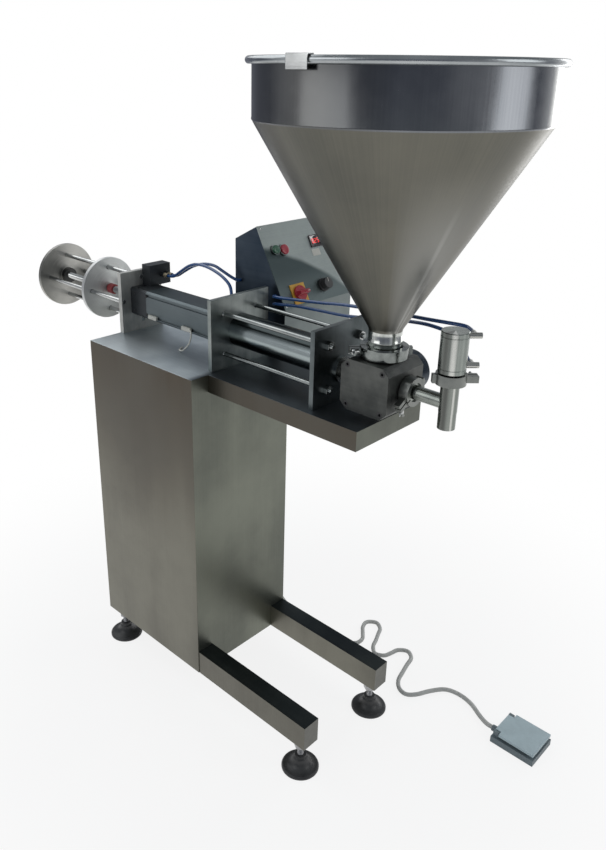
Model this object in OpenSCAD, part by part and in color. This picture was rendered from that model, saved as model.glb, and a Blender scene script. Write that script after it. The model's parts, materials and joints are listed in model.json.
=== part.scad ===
// Semi-automatic piston filler for liquids and creams: a pneumatic cylinder drives a product
// piston that draws from the hopper and fills through a shut-off nozzle.
// Millimetres. +X runs along the pistons towards the nozzle, +Y towards the control console,
// +Z up. The origin lies on the floor under the middle of the whole machine.

/* [Cabinet] */
// Length of the cabinet along the machine
cabinet_l = 410; // [380:5:480]
// Width of the cabinet
cabinet_w = 334; // [300:2:420]
// Height of the deck above the floor
deck_h = 946; // [780:2:1140]
// Height of the cabinet's lower edge above the floor
floor_gap = 90; // [80:1:100]
// Thickness of the cabinet's sheet
sheet_t = 2; // [1.5:0.5:3]
// Length of the tray that carries the filling end
tray_l = 447; // [380:1:500]
// Width of the tray
tray_w = 228; // [200:2:280]
// Depth of the tray's folded sides
tray_h = 45; // [30:1:60]

/* [Base frame] */
// Width of a leg tube
leg_w = 50; // [40:1:60]
// Height of a leg tube
leg_h = 68; // [50:1:80]
// Wall of the tubes
tube_t = 3; // [2:0.5:4]
// Distance from the cabinet's back to the legs' front ends
leg_reach = 792; // [700:2:900]
// Diameter of a levelling foot
foot_d = 94; // [70:1:110]
// Height of a foot's bell
bell_h = 34; // [24:1:44]
// Diameter of a foot's stud
stud_d = 16; // [12:1:20]
// Distance of a foot's axis from the end of its leg
foot_inset = 32; // [28:1:60]

/* [Air cylinder] */
// Height of the piston line above the deck
axis_h = 87; // [80:1:110]
// Thickness of the rear plate
rear_plate_t = 14; // [10:1:20]
// Width of the rear plate
rear_plate_w = 136; // [130:1:160]
// Height of the rear plate
rear_plate_h = 166; // [155:1:190]
// Side of the square cylinder profile
profile_w = 76; // [72:1:90]
// Bore of the air cylinder
air_bore = 63; // [50:1:63]
// Length of the rear end cap
rear_cap_l = 66; // [40:1:80]
// Length of the front end cap
front_cap_l = 49; // [40:1:60]
// Diameter of the piston rod
rod_d = 20; // [16:1:22]

/* [Product cylinder] */
// Thickness of the two barrel plates
barrel_plate_t = 12; // [8:1:16]
// Width of the barrel plates
barrel_plate_w = 192; // [180:2:220]
// Height of the barrel plates
barrel_plate_h = 176; // [160:1:200]
// Length of the product barrel between its plates
barrel_l = 308; // [290:2:360]
// Bore of the product barrel
product_bore = 76; // [60:1:78]
// Wall of the product barrel
barrel_wall = 3; // [2:0.5:4]
// Diameter of the tie rods
tie_d = 12; // [8:1:14]
// Sideways distance of a tie rod from the piston line
tie_y = 53; // [53:1:60]
// Height of a tie rod above or below the piston line
tie_z = 50; // [48:1:56]

/* [Stroke adjuster] */
// Length of the cage behind the rear plate
cage_l = 354; // [340:2:400]
// Radius of the circle of cage rods
cage_r = 60; // [56:1:60]
// Diameter of the cage rods
cage_rod_d = 12; // [10:1:12]
// Diameter of the cage's end disc
end_disc_d = 186; // [160:2:200]
// Diameter of the sliding stop disc
stop_disc_d = 174; // [150:2:190]
// Thickness of both discs
disc_t = 12; // [8:1:16]
// Distance of the stop disc from the rear plate as set
stop_set = 138; // [120:1:140]
// Diameter of the adjusting spindle
spindle_d = 18; // [14:1:20]
// Length of the red rubber bumper on the rod's tail
bumper_l = 22; // [16:1:26]

/* [Valve] */
// Distance from the barrel's front plate to the valve body
port_l = 47; // [40:1:60]
// Size of the valve body along the machine
valve_w = 120; // [110:2:130]
// Height of the valve body
valve_h = 112; // [106:2:116]
// Depth of the valve body across the machine
valve_d = 110; // [100:2:130]
// Drop of the valve's axis below the piston line
valve_drop = 16; // [12:1:18]
// Diameter of the valve rotor
rotor_d = 60; // [54:1:64]
// Bore of the product passages
port_d = 26; // [20:1:28]
// Thickness of the valve's cover plate
cover_t = 12; // [8:1:16]
// Chamfer at the corners of the valve body and its cover
valve_chamfer = 16; // [10:1:18]
// Distance between the cover screws
screw_pitch = 88; // [80:1:92]
// Diameter of the rotary actuator
actuator_d = 92; // [70:2:100]
// Length of the rotary actuator
actuator_l = 54; // [50:2:90]

/* [Hopper] */
// Outer diameter of the hopper's drum
hopper_d = 552; // [440:4:640]
// Outer diameter of the rim
rim_d = 576; // [464:4:664]
// Height of the rim band
rim_h = 14; // [8:1:20]
// Height of the drum with its rim
drum_h = 109; // [70:1:160]
// Height of the cone
cone_h = 402; // [320:1:520]
// Outer diameter of the neck
neck_d = 70; // [60:1:76]
// Length of the neck above its ferrule
neck_l = 41; // [20:1:48]
// Wall of the hopper
hopper_t = 2; // [1.5:0.5:3]

/* [Nozzle] */
// Distance from the valve body to the nozzle's axis
nozzle_reach = 101; // [95:1:130]
// Outer diameter of the outlet pipe
outlet_d = 30; // [28:1:32]
// Outer diameter of the nozzle tube
nozzle_d = 36; // [34:1:38]
// Length of the turned end of the nozzle tube
spout_l = 36; // [24:1:37]
// Step from the turned end to the rest of the tube, on the radius
spout_step = 0.5; // [0.3:0.1:1]
// Wall of the outlet pipe and the nozzle tube
pipe_t = 2; // [1.5:0.5:2.5]
// Length of the nozzle tube below the outlet's axis
nozzle_drop = 53; // [45:1:80]
// Length of the nozzle tube above the outlet's axis
nozzle_rise = 46; // [40:1:60]
// Diameter of the nozzle's air cylinder
nozzle_cyl_d = 55; // [50:1:60]
// Height of the nozzle's air cylinder
nozzle_cyl_h = 84; // [80:1:110]
// Lift of the nozzle's shut-off plunger
plunger_lift = 14; // [8:1:16]

/* [Console] */
// Width of the console
console_w = 260; // [215:1:300]
// Length of the sloping panel
panel_l = 220; // [218:1:260]
// Tilt of the panel from the vertical
panel_tilt = 28; // [20:1:35]
// Height of the console's back
console_back_h = 238; // [190:1:270]
// Length of the console's roof
console_roof_l = 84; // [70:1:100]
// Height of the console's floor above the deck
console_lift = 36; // [30:1:100]
// Thickness of the console's sheet
console_t = 2; // [1.5:0.5:3]
// Side of the yellow switch plate
switch_plate_w = 52; // [44:1:56]

/* [Foot switch] */
// Length of the foot switch
switch_l = 118; // [100:1:140]
// Width of the foot switch
switch_w = 100; // [80:1:120]
// Height of the foot switch's base
switch_base_h = 18; // [16:1:24]

/* [Hidden] */
$fn = 64;
// Gap between pieces that move past each other
clear = 0.3;
// Radial gap of a guided shaft
guide_clear = 0.08;
// Radial gap of a sliding seal
seal_clear = 0.05;
// Gap of a bolt in its hole
bolt_clear = 0.2;
// A cut runs past its face by this much
over = 1;

// Stations along the machine, from the cabinet's back
rear_cap_x = rear_plate_t;
air_barrel_x = rear_cap_x + rear_cap_l;
rear_barrel_plate_x = cabinet_l - 19;
front_cap_x = rear_barrel_plate_x - front_cap_l;
air_barrel_l = front_cap_x - air_barrel_x;
barrel_x = rear_barrel_plate_x + barrel_plate_t;
front_barrel_plate_x = barrel_x + barrel_l;
valve_x0 = front_barrel_plate_x + barrel_plate_t + port_l;
valve_x = valve_x0 + valve_w / 2;
valve_x1 = valve_x0 + valve_w;
nozzle_x = valve_x1 + nozzle_reach;
tray_x1 = cabinet_l + tray_l;
// Heights
axis_z = deck_h + axis_h;
valve_z = axis_z - valve_drop;
valve_top_z = valve_z + valve_h / 2;
// Widths
cabinet_y = cabinet_w / 2;
leg_y = cabinet_y - sheet_t - leg_w / 2;
rear_foot_x = foot_inset + 8;
front_foot_x = leg_reach - foot_inset;
foot_stations = [[front_foot_x, -leg_y], [front_foot_x, leg_y],
                 [rear_foot_x, -leg_y], [rear_foot_x, leg_y]];

// Sanitary ferrules and clamps
flange_t = 6;
gasket_t = 2;
ferrule_z0 = 7;
neck_flange_d = neck_d + 21;
pipe_flange_d = 50.5;
clamp_lip = 4;
clamp_wall = 5;
joint_h = 2 * flange_t + gasket_t;
hopper_z0 = valve_top_z + ferrule_z0 + flange_t + gasket_t;
neck_top_z = hopper_z0 + flange_t + neck_l;
cone_top_z = neck_top_z + cone_h;
rim_z = cone_top_z + drum_h;
nozzle_flange_z = valve_z + nozzle_rise;
nozzle_cyl_z = nozzle_flange_z + flange_t + gasket_t;
nozzle_end_z = valve_z - nozzle_drop;
outlet_flange_x = valve_x1 + ferrule_z0;
nozzle_cyl_z0 = nozzle_cyl_z + flange_t + 6;
nozzle_top_z = nozzle_cyl_z0 + nozzle_cyl_h;

// Pistons
tail_gap = 4;
end_gap = 3;
bumper_d = 28;
rod_tail_x = -(stop_set - tail_gap - bumper_l);
stroke = -rod_tail_x - end_gap - 1;
product_piston_l = 40;
product_piston_x = front_barrel_plate_x - end_gap - stroke - product_piston_l;
air_piston_l = 30;
air_piston_x = front_cap_x - end_gap - stroke - air_piston_l;
seal_h = 4.5;
seal_w = 4;
rod_grip = 30;

// Air ports: under the valve block at the rear, and midway along the front cap
rear_port_x = rear_plate_t + 17;
front_port_x = front_cap_x + front_cap_l / 2;
cap_port_d = 11.4;
elbow_h = 10;
// Air valve block, and its two hose nipples
block_l = 34;
block_h = 56;
block_low_y = 4;
block_high_y = 74;
nipple_l = 24;
nipple_z = axis_z + profile_w / 2 + 27;
nipple_ys = [60, 46];
// Fittings of the nozzle's air cylinder
fitting_d = 12;
fitting_reach = 24;
fitting_a = 45;
collar_l = 18;
collar_out = 12;
fitting_zs = [nozzle_top_z - 10, nozzle_cyl_z0 + 14];

// Stop disc and spindle
stop_travel = 180;
knob_d = 60;
knob_l = 24;
knob_gap = 6;
end_disc_x = -cage_l - disc_t;
knob_x = end_disc_x - knob_gap - knob_l;

// Console
console_back_x = cabinet_l - 142;
console_y = 112;
console_z = deck_h + console_lift;
ct = cos(panel_tilt);
st = sin(panel_tilt);
roof_back = [console_back_x, console_z + console_back_h];
panel_top = [roof_back[0] + console_roof_l * ct, roof_back[1] + console_roof_l * st];
panel_foot = [panel_top[0] + panel_l * st, panel_top[1] - panel_l * ct];
console_front_x = panel_foot[0];
panel_t = 2.5;
panel_margin = 8;
button_stem_d = 16;
bezel_h = 5;
red_r = 13;
green_r = 11;

// Foot switch
switch_x = 1060;
switch_y = 266;
pedal_z = switch_base_h + 9;
pedal_t = 7;
hinge_x = switch_x + 10;
hinge_z = switch_base_h + 8;

// Box of the whole machine, which centres the frame
low_x = knob_x;
high_x = switch_x + switch_l;
low_y = -rim_d / 2;
high_y = switch_y + switch_w;
frame_x = -(low_x + high_x) / 2;
frame_y = -(low_y + high_y) / 2;

// Colours
steel = [0.62, 0.61, 0.58];
polished = [0.78, 0.78, 0.78];
dark_steel = [0.34, 0.35, 0.35];
alloy = [0.52, 0.55, 0.56];
black = [0.08, 0.08, 0.08];
grey_black = [0.16, 0.17, 0.18];
white = [0.9, 0.9, 0.88];
blue = [0.08, 0.2, 0.42];
red = [0.7, 0.08, 0.1];
green = [0.1, 0.45, 0.2];
yellow = [0.9, 0.66, 0.1];
pale_blue = [0.72, 0.78, 0.8];
cord_grey = [0.55, 0.55, 0.52];

// Centre line of the foot switch's cord
cord_d = 12;
// Boss of the foot switch that takes the cord
cord_y = 304;
cord_boss_d = cord_d + 5;
cord_boss_l = 14;
cord_boss_z = cord_boss_d / 2 + 1;
gland_x = 300;
gland_z = floor_gap + leg_h / 2;
gland_y = cabinet_y;
// Gap between the end of a hose or cord and its seat
hose_gap = 0.4;
CORD = [[gland_x, gland_y + 27 + hose_gap, gland_z], [gland_x + 0.4, gland_y + 46, gland_z - 2.5],
        [303, 236, 106], [309, 256, 78], [319, 271, 47], [335, 283, 20], [362, 290, 7.5], [400, 293, 6.5],
        [440, 294, 6.5], [480, 294, 6.5], [520, 294, 6.5], [556, 297, 6.5], [580, 314, 6.5], [582, 340, 6.5],
        [566, 364, 6.5], [548, 388, 6.5], [543, 415, 6.5], [566, 433, 6.5], [591, 419, 6.5], [603, 393, 6.5],
        [615, 366, 6.5], [626, 338, 6.5], [648, 317, 6.5], [673, 328, 6.5], [682, 352, 6.5], [689, 377, 6.5],
        [713, 393, 6.5], [737, 376, 6.5], [745, 343, 6.5], [754, 308, 6.5], [764, 274, 6.5], [784, 250, 6.5],
        [810, 244, 6.5], [832, 264, 6.5], [852, 302, 6.5], [879, 337, 6.5], [916, 348, 6.5], [958, 341, 6.5],
        [1000, 318, 7], [1026, 305.6, cord_boss_z - 0.3],
        [switch_x - cord_boss_l - hose_gap, cord_y, cord_boss_z]];

// Centre lines of the blue air hoses
hose_d = 8;
rear_start = [rear_plate_t + block_l + nipple_l + hose_gap, 0, nipple_z];
front_end = [front_port_x, 0, axis_z + profile_w / 2 + elbow_h + hose_gap];
function fitting_mouth(z) =
    let (r = nozzle_cyl_d / 2 + collar_out, c = cos(fitting_a), s = sin(fitting_a), l = collar_l + hose_gap)
    [nozzle_x + r * c - l * s, r * s + l * c, z];
// A point of a hose at a height above the piston line
function on_line(x, y, h) = [x, y, axis_z + h];
HOSES = [
    [rear_start + [0, nipple_ys[0], 0], rear_start + [24, nipple_ys[0], 3], on_line(124, 64, 85),
     on_line(156, 68, 103), on_line(190, 74, 113), on_line(222, 80, 113), on_line(250, 84, 103),
     on_line(272, 92, 91), on_line(287, console_y - 11, 83), on_line(288, console_y - hose_gap, 82)],
    [rear_start + [0, nipple_ys[1], 0], rear_start + [26, nipple_ys[1], 3.5], on_line(128, 46, 87),
     on_line(162, 44, 107), on_line(200, 40, 119), on_line(240, 36, 121), on_line(280, 30, 117),
     on_line(316, 24, 109), on_line(346, 18, 95), on_line(362, 9, 75), front_end + [0, 1, 12], front_end],
    [on_line(414, console_y - hose_gap, 65), on_line(416, console_y - 11, 66), on_line(426, 94.5, 68),
     on_line(450, 93, 70), on_line(480, 94, 73), on_line(520, 95, 77), on_line(580, 95, 84),
     on_line(640, 92, 93), on_line(717, 88, 101), on_line(780, 80, 107), on_line(830, 74, 113),
     on_line(880, 70, 117), on_line(930, 68, 121), on_line(970, 66, 124), on_line(990, 56, 124),
     fitting_mouth(fitting_zs[0])],
    [on_line(414, console_y - hose_gap, 45), on_line(416, console_y - 10, 46), on_line(426, 98, 49),
     on_line(460, 100, 53), on_line(500, 103, 57), on_line(560, 104, 60), on_line(640, 105, 64),
     on_line(717, 105, 75), on_line(780, 96, 89), on_line(830, 86, 97), on_line(880, 78, 103),
     on_line(930, 72, 101), on_line(962, 70, 89), on_line(980, 64, 71), on_line(992, 53.5, 65),
     fitting_mouth(fitting_zs[1])],
];

// Moves a piece from the machine's own stations into the shared frame
module machine() {
    translate([frame_x, frame_y, 0]) children();
}

// A box from one corner to the opposite one
module span(low, high) {
    translate(low) cube(high - low);
}

// A cylinder along +X, +Y or +Z from a point
module rod_x(p, d, l) {
    translate(p) rotate([0, 90, 0]) cylinder(d = d, h = l);
}
module rod_y(p, d, l) {
    translate(p) rotate([-90, 0, 0]) cylinder(d = d, h = l);
}
module rod_z(p, d, l) {
    translate(p) cylinder(d = d, h = l);
}

// A hexagon prism along +X
module hex_x(p, flats, l) {
    translate(p) rotate([0, 90, 0]) cylinder(d = flats / cos(30), h = l, $fn = 6);
}

// A tube with round ends swept along a list of points
function unit(v) = v / norm(v);
function heading(p, i) = unit(p[min(i + 1, len(p) - 1)] - p[max(i - 1, 0)]);
function side(t) = unit(cross(t, abs(t[2]) > 0.9 ? [0, 1, 0] : [0, 0, 1]));
function ring(c, t, r, n) =
    let (a = side(t), b = cross(t, a))
    [for (k = [0 : n - 1]) c + r * (cos(360 * k / n) * a + sin(360 * k / n) * b)];
function between(a, b, c, d, t) =
    0.5 * (2 * b + (c - a) * t + (2 * a - 5 * b + 4 * c - d) * t * t
           + (3 * b - a - 3 * c + d) * t * t * t);
function smooth(p, steps) =
    let (last = len(p) - 1)
    concat([for (i = [0 : last - 1], s = [0 : steps - 1])
                between(p[max(i - 1, 0)], p[i], p[i + 1], p[min(i + 2, last)], s / steps)],
           [p[last]]);
module hose(points, d, steps = 2, sides = 8) {
    p = smooth(points, steps);
    n = len(p);
    verts = [for (i = [0 : n - 1]) each ring(p[i], heading(p, i), d / 2, sides)];
    walls = [for (i = [0 : n - 2], k = [0 : sides - 1])
                let (a = i * sides + k, b = i * sides + (k + 1) % sides)
                each [[a, a + sides, b], [b, a + sides, b + sides]]];
    near = [for (k = [0 : sides - 1]) k];
    far = [for (k = [sides - 1 : -1 : 0]) (n - 1) * sides + k];
    polyhedron(verts, concat(walls, [near, far]), convexity = 10);
}

// ---- Base frame and feet ----

cross_stations = [rear_foot_x - leg_w / 2, cabinet_l - sheet_t - leg_w - 6];
cross_hollow_y = leg_y - leg_w / 2 + tube_t + over / 2;

module base_frame() color(steel) machine() difference() {
    union() {
        for (s = [-1, 1])
            span([sheet_t, s * leg_y - leg_w / 2, floor_gap],
                 [leg_reach, s * leg_y + leg_w / 2, floor_gap + leg_h]);
        for (x = cross_stations)
            span([x, -leg_y, floor_gap], [x + leg_w, leg_y, floor_gap + leg_h]);
    }
    for (s = [-1, 1]) difference() {
        span([sheet_t - over, s * leg_y - leg_w / 2 + tube_t, floor_gap + tube_t],
             [leg_reach - tube_t, s * leg_y + leg_w / 2 - tube_t, floor_gap + leg_h - tube_t]);
        for (p = foot_stations)
            rod_z([p[0], p[1], floor_gap], stud_d + 14, leg_h);
    }
    for (x = cross_stations)
        span([x + tube_t, -cross_hollow_y, floor_gap + tube_t],
             [x + leg_w - tube_t, cross_hollow_y, floor_gap + leg_h - tube_t]);
    for (p = foot_stations)
        rod_z([p[0], p[1], floor_gap - over], stud_d + 2 * clear, leg_h - 14);
}

module levelling_foot(station) color(black) machine() translate([station[0], station[1], 0]) {
    rotate_extrude() polygon([
        [0, 0], [foot_d / 2, 0], [foot_d / 2, 5], [foot_d / 2 - 3, 9], [foot_d / 2 - 14, bell_h - 12],
        [18, bell_h - 3], [15, bell_h], [15, bell_h + 8], [stud_d / 2, bell_h + 8],
        [stud_d / 2, floor_gap + leg_h - 22], [0, floor_gap + leg_h - 22]]);
    difference() {
        rod_z([0, 0, floor_gap - 24], 30 / cos(30), 14, $fn = 6);
        rod_z([0, 0, floor_gap - 25], stud_d - 1, 16);
    }
}
module foot_front_right() { levelling_foot(foot_stations[0]); }
module foot_front_left() { levelling_foot(foot_stations[1]); }
module foot_rear_right() { levelling_foot(foot_stations[2]); }
module foot_rear_left() { levelling_foot(foot_stations[3]); }

// ---- Cabinet and tray ----

cover_margin = 20;
cover_low_z = floor_gap + leg_h + 40;
cover_high_z = deck_h - 46;

module cabinet_shell() color(steel) machine() difference() {
    span([0, -cabinet_y, floor_gap], [cabinet_l, cabinet_y, deck_h]);
    span([sheet_t, -cabinet_y + sheet_t, floor_gap + leg_h + sheet_t],
         [cabinet_l - sheet_t, cabinet_y - sheet_t, deck_h - sheet_t]);
    span([sheet_t, -cabinet_y + sheet_t, floor_gap - over],
         [cabinet_l - sheet_t, cabinet_y - sheet_t, floor_gap + leg_h]);
    for (s = [-1, 1])
        span([cabinet_l - sheet_t - over, s * leg_y - leg_w / 2, floor_gap - over],
             [cabinet_l + over, s * leg_y + leg_w / 2, floor_gap + leg_h]);
    span([-over, -cabinet_y + cover_margin, cover_low_z],
         [sheet_t + over, cabinet_y - cover_margin, cover_high_z]);
}

module rear_cover() color(steel) machine() difference() {
    span([-sheet_t, -cabinet_y + 8, cover_low_z - 12], [0, cabinet_y - 8, cover_high_z + 12]);
    rod_x([-sheet_t - over, inlet_y, inlet_z], inlet_d, sheet_t + 2 * over);
}

inlet_y = 60;
inlet_z = cover_low_z + 60;
inlet_d = 20;
inlet_bore = 11.4;
inlet_l = 18;
module air_inlet_port() color([0.75, 0.62, 0.32]) machine() difference() {
    union() {
        hex_x([-sheet_t - inlet_l, inlet_y, inlet_z], 22, inlet_l);
        rod_x([-sheet_t, inlet_y, inlet_z], inlet_d, sheet_t + 14);
        hex_x([0, inlet_y, inlet_z], 24, 6);
    }
    rod_x([-sheet_t - inlet_l - over, inlet_y, inlet_z], inlet_bore, inlet_l + over);
    rod_x([-sheet_t - over, inlet_y, inlet_z], 8, sheet_t + 20);
}

module tray() color(steel) machine() difference() {
    span([cabinet_l, -tray_w / 2, deck_h - tray_h], [tray_x1, tray_w / 2, deck_h]);
    span([cabinet_l + 3, -tray_w / 2 + 3, deck_h - tray_h - over],
         [tray_x1 - 3, tray_w / 2 - 3, deck_h - 3]);
}

// ---- Air cylinder ----

module rear_plate() color(steel) machine() difference() {
    span([0, -rear_plate_w / 2, deck_h], [rear_plate_t, rear_plate_w / 2, deck_h + rear_plate_h]);
    rod_x([-over, 0, axis_z], rod_d + 1, rear_plate_t + 2 * over);
    for (a = [0 : 90 : 270])
        rod_x([-over, cage_r * sin(a), axis_z + cage_r * cos(a)], cage_rod_d, rear_plate_t + 2 * over);
}

module end_cap(x, l, port_x) {
    difference() {
        translate([x, 0, axis_z]) rotate([90, 0, 90]) linear_extrude(l) chamfered(profile_w, profile_w, 5);
        rod_x([x - over, 0, axis_z], rod_d + 2 * guide_clear, l + 2 * over);
        rod_z([port_x, 0, axis_z + profile_w / 2 - 12], cap_port_d, 12 + over);
    }
}
module cylinder_caps() color(grey_black) machine() {
    end_cap(rear_cap_x, rear_cap_l, rear_port_x);
    end_cap(front_cap_x, front_cap_l, front_port_x);
}

// A rectangle with its corners cut
module chamfered(w, h, c) {
    polygon([[-w / 2 + c, -h / 2], [w / 2 - c, -h / 2], [w / 2, -h / 2 + c], [w / 2, h / 2 - c],
             [w / 2 - c, h / 2], [-w / 2 + c, h / 2], [-w / 2, h / 2 - c], [-w / 2, -h / 2 + c]]);
}

module air_barrel() color(alloy) machine() difference() {
    translate([air_barrel_x, 0, axis_z]) rotate([90, 0, 90])
        linear_extrude(air_barrel_l) chamfered(profile_w, profile_w, 5);
    rod_x([air_barrel_x - over, 0, axis_z], air_bore, air_barrel_l + 2 * over);
    for (s = [-1, 1], t = [-1, 1])
        span([air_barrel_x - over, min(s * profile_w / 2, s * (profile_w / 2 - 3)), axis_z + t * 27 - 3],
             [air_barrel_x + air_barrel_l + over, max(s * profile_w / 2, s * (profile_w / 2 - 3)),
              axis_z + t * 27 + 3]);
}

module rear_air_valve() color(grey_black) machine() {
    x0 = rear_plate_t;
    z0 = axis_z + profile_w / 2;
    span([x0, block_low_y, z0], [x0 + block_l, block_high_y, z0 + block_h]);
    for (y = nipple_ys) {
        rod_x([x0 + block_l, y, nipple_z], 13, nipple_l / 2);
        rod_x([x0 + block_l, y, nipple_z], 11, nipple_l);
    }
    rod_z([front_port_x, 0, z0 - 11], cap_port_d, 11 + elbow_h);
}

module reed_sensor() color(white) machine() {
    y1 = -profile_w / 2;
    for (x = [air_barrel_x + 14, air_barrel_x + 150])
        span([x, y1 - 6, axis_z - 32], [x + 34, y1, axis_z - 22]);
    hose([[air_barrel_x + 184, y1 - 4, axis_z - 27], [air_barrel_x + 196, y1 - 12, axis_z - 34],
          [air_barrel_x + 194, y1 - 18, axis_z - 56], [air_barrel_x + 172, y1 - 20, axis_z - 78],
          [air_barrel_x + 150, y1 - 14, axis_z - 84], [air_barrel_x + 140, y1 + 6, axis_z - 84]],
         4, 2, 8);
}

module air_hoses() color(blue) machine() for (h = HOSES) hose(h, hose_d);

// ---- Pistons ----

module piston_rod() color(polished) machine() {
    rod_x([rod_tail_x, 0, axis_z], rod_d, product_piston_x + rod_grip - rod_tail_x);
}

module grooved_piston(x, d, l, grip, grooves) {
    difference() {
        rod_x([x, 0, axis_z], d, l);
        for (g = grooves) difference() {
            rod_x([x + g, 0, axis_z], d + over, seal_w);
            rod_x([x + g - over, 0, axis_z], d - 2 * seal_h, seal_w + 2 * over);
        }
        rod_x([x - over, 0, axis_z], rod_d, grip + over);
    }
}
air_piston_d = air_bore - 2 * clear;
product_piston_d = product_bore - 2 * clear;
air_grooves = [5, 21];
product_grooves = [6, 28];

module air_piston() color(alloy) machine()
    grooved_piston(air_piston_x, air_piston_d, air_piston_l, air_piston_l + over, air_grooves);

module product_piston() color(polished) machine()
    grooved_piston(product_piston_x, product_piston_d, product_piston_l, rod_grip, product_grooves);

module piston_seals() color(black) machine() {
    for (g = air_grooves) seal_ring(air_piston_x + g, air_bore, air_piston_d);
    for (g = product_grooves) seal_ring(product_piston_x + g, product_bore, product_piston_d);
}
module seal_ring(x, bore, d) {
    difference() {
        rod_x([x, 0, axis_z], bore - 2 * seal_clear, seal_w);
        rod_x([x - over, 0, axis_z], d - 2 * seal_h, seal_w + 2 * over);
    }
}

module rod_bumper() color(red) machine() rod_x([rod_tail_x - bumper_l, 0, axis_z], bumper_d, bumper_l);

// ---- Product cylinder ----

module barrel_plate(x, bore) {
    difference() {
        span([x, -barrel_plate_w / 2, deck_h],
             [x + barrel_plate_t, barrel_plate_w / 2, deck_h + barrel_plate_h]);
        for (s = [-1, 1], t = [-1, 1])
            rod_x([x - over, s * tie_y, axis_z + t * tie_z], tie_d + 2 * bolt_clear, barrel_plate_t + 2 * over);
        translate([0, 0, bore[1]]) rod_x([x - over, 0, axis_z], bore[0], barrel_plate_t + 2 * over);
    }
}
module barrel_rear_plate() color(steel) machine()
    barrel_plate(rear_barrel_plate_x, [rod_d + 1, 0]);
module barrel_front_plate() color(steel) machine()
    barrel_plate(front_barrel_plate_x, [port_d, -valve_drop]);

module product_barrel() color(polished) machine() difference() {
    rod_x([barrel_x, 0, axis_z], product_bore + 2 * barrel_wall, barrel_l);
    rod_x([barrel_x - over, 0, axis_z], product_bore, barrel_l + 2 * over);
}

nut_flats = 19;
nut_l = 10;
nut_tail = 6;
module tie_rods() color(polished) machine()
    for (s = [-1, 1], t = [-1, 1])
        rod_x([rear_barrel_plate_x - nut_l - nut_tail, s * tie_y, axis_z + t * tie_z], tie_d,
              barrel_l + 2 * (barrel_plate_t + nut_l + nut_tail));

module tie_rod_nuts() color(polished) machine()
    for (s = [-1, 1], t = [-1, 1], x = [rear_barrel_plate_x - nut_l, front_barrel_plate_x + barrel_plate_t])
        difference() {
            hex_x([x, s * tie_y, axis_z + t * tie_z], nut_flats, nut_l);
            rod_x([x - over, s * tie_y, axis_z + t * tie_z], tie_d, nut_l + 2 * over);
        }

// ---- Stroke adjuster ----

module cage_rods() color(polished) machine()
    for (a = [0 : 90 : 270])
        rod_x([-cage_l, cage_r * sin(a), axis_z + cage_r * cos(a)], cage_rod_d, cage_l + rear_plate_t);

hub_d = 44;
hub_l = 16;
module end_disc() color(steel) machine() difference() {
    union() {
        rod_x([end_disc_x, 0, axis_z], end_disc_d, disc_t);
        rod_x([end_disc_x + disc_t, 0, axis_z], hub_d, hub_l);
    }
    rod_x([end_disc_x - over, 0, axis_z], spindle_d + 2 * clear, disc_t + hub_l + 2 * over);
}

module stop_disc() color(steel) machine() difference() {
    rod_x([-stop_set - disc_t, 0, axis_z], stop_disc_d, disc_t);
    rod_x([-stop_set - disc_t - over, 0, axis_z], spindle_d + 2 * clear, disc_t + 2 * over);
    for (a = [0 : 90 : 270])
        rod_x([-stop_set - disc_t - over, cage_r * sin(a), axis_z + cage_r * cos(a)],
              cage_rod_d + 2 * clear, disc_t + 2 * over);
}

module stop_spindle() color(polished) machine() {
    rod_x([knob_x, 0, axis_z], spindle_d, -stop_set - over - knob_x);
    difference() {
        rod_x([knob_x, 0, axis_z], knob_d, knob_l);
        for (a = [0 : 45 : 315])
            rod_x([knob_x - over, (knob_d / 2 + 3) * sin(a), axis_z + (knob_d / 2 + 3) * cos(a)], 14,
                  knob_l + 2 * over);
        rod_x([knob_x - over, 0, axis_z], spindle_d - over, knob_l + 2 * over);
    }
}

// ---- Rotary valve ----

body_shift = 3;
body_y0 = body_shift - valve_d / 2;
body_y1 = body_shift + valve_d / 2;
back_wall = 12;
rotor_gap = 0.3;
drive_d = 20;

module valve_block(y0, y1) {
    translate([valve_x, y1, valve_z]) rotate([90, 0, 0]) linear_extrude(y1 - y0)
        chamfered(valve_w, valve_h, valve_chamfer);
}

module valve_body() color(dark_steel) machine() difference() {
    union() {
        valve_block(body_y0, body_y1);
        rod_x([valve_x0 - port_l, 0, valve_z], port_d + 14, port_l + over);
        rod_x([valve_x0 - port_l, 0, valve_z], port_d + 34, flange_t);
        rod_z([valve_x, 0, valve_top_z - over], neck_d, ferrule_z0 + over);
        rod_z([valve_x, 0, valve_top_z + ferrule_z0], neck_flange_d, flange_t);
        rod_x([valve_x1 - over, 0, valve_z], outlet_d, ferrule_z0 + over);
        rod_x([outlet_flange_x, 0, valve_z], pipe_flange_d, flange_t);
    }
    rod_y([valve_x, body_y0 - over, valve_z], rotor_d + 2 * guide_clear, valve_d - back_wall + over);
    rod_y([valve_x, body_y1 - back_wall - over, valve_z], drive_d + 2 * clear, back_wall + 2 * over);
    rod_x([valve_x0 - port_l - over, 0, valve_z], port_d, port_l + valve_w + ferrule_z0 + flange_t + 2 * over);
    rod_z([valve_x, 0, valve_z], neck_d - 30, valve_h / 2 + ferrule_z0 + flange_t + over);
    for (s = [-1, 1], t = [-1, 1])
        rod_y([valve_x + s * screw_pitch / 2, body_y0 - over, valve_z + t * screw_pitch / 2], screw_d,
              screw_grip + over);
}

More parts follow.
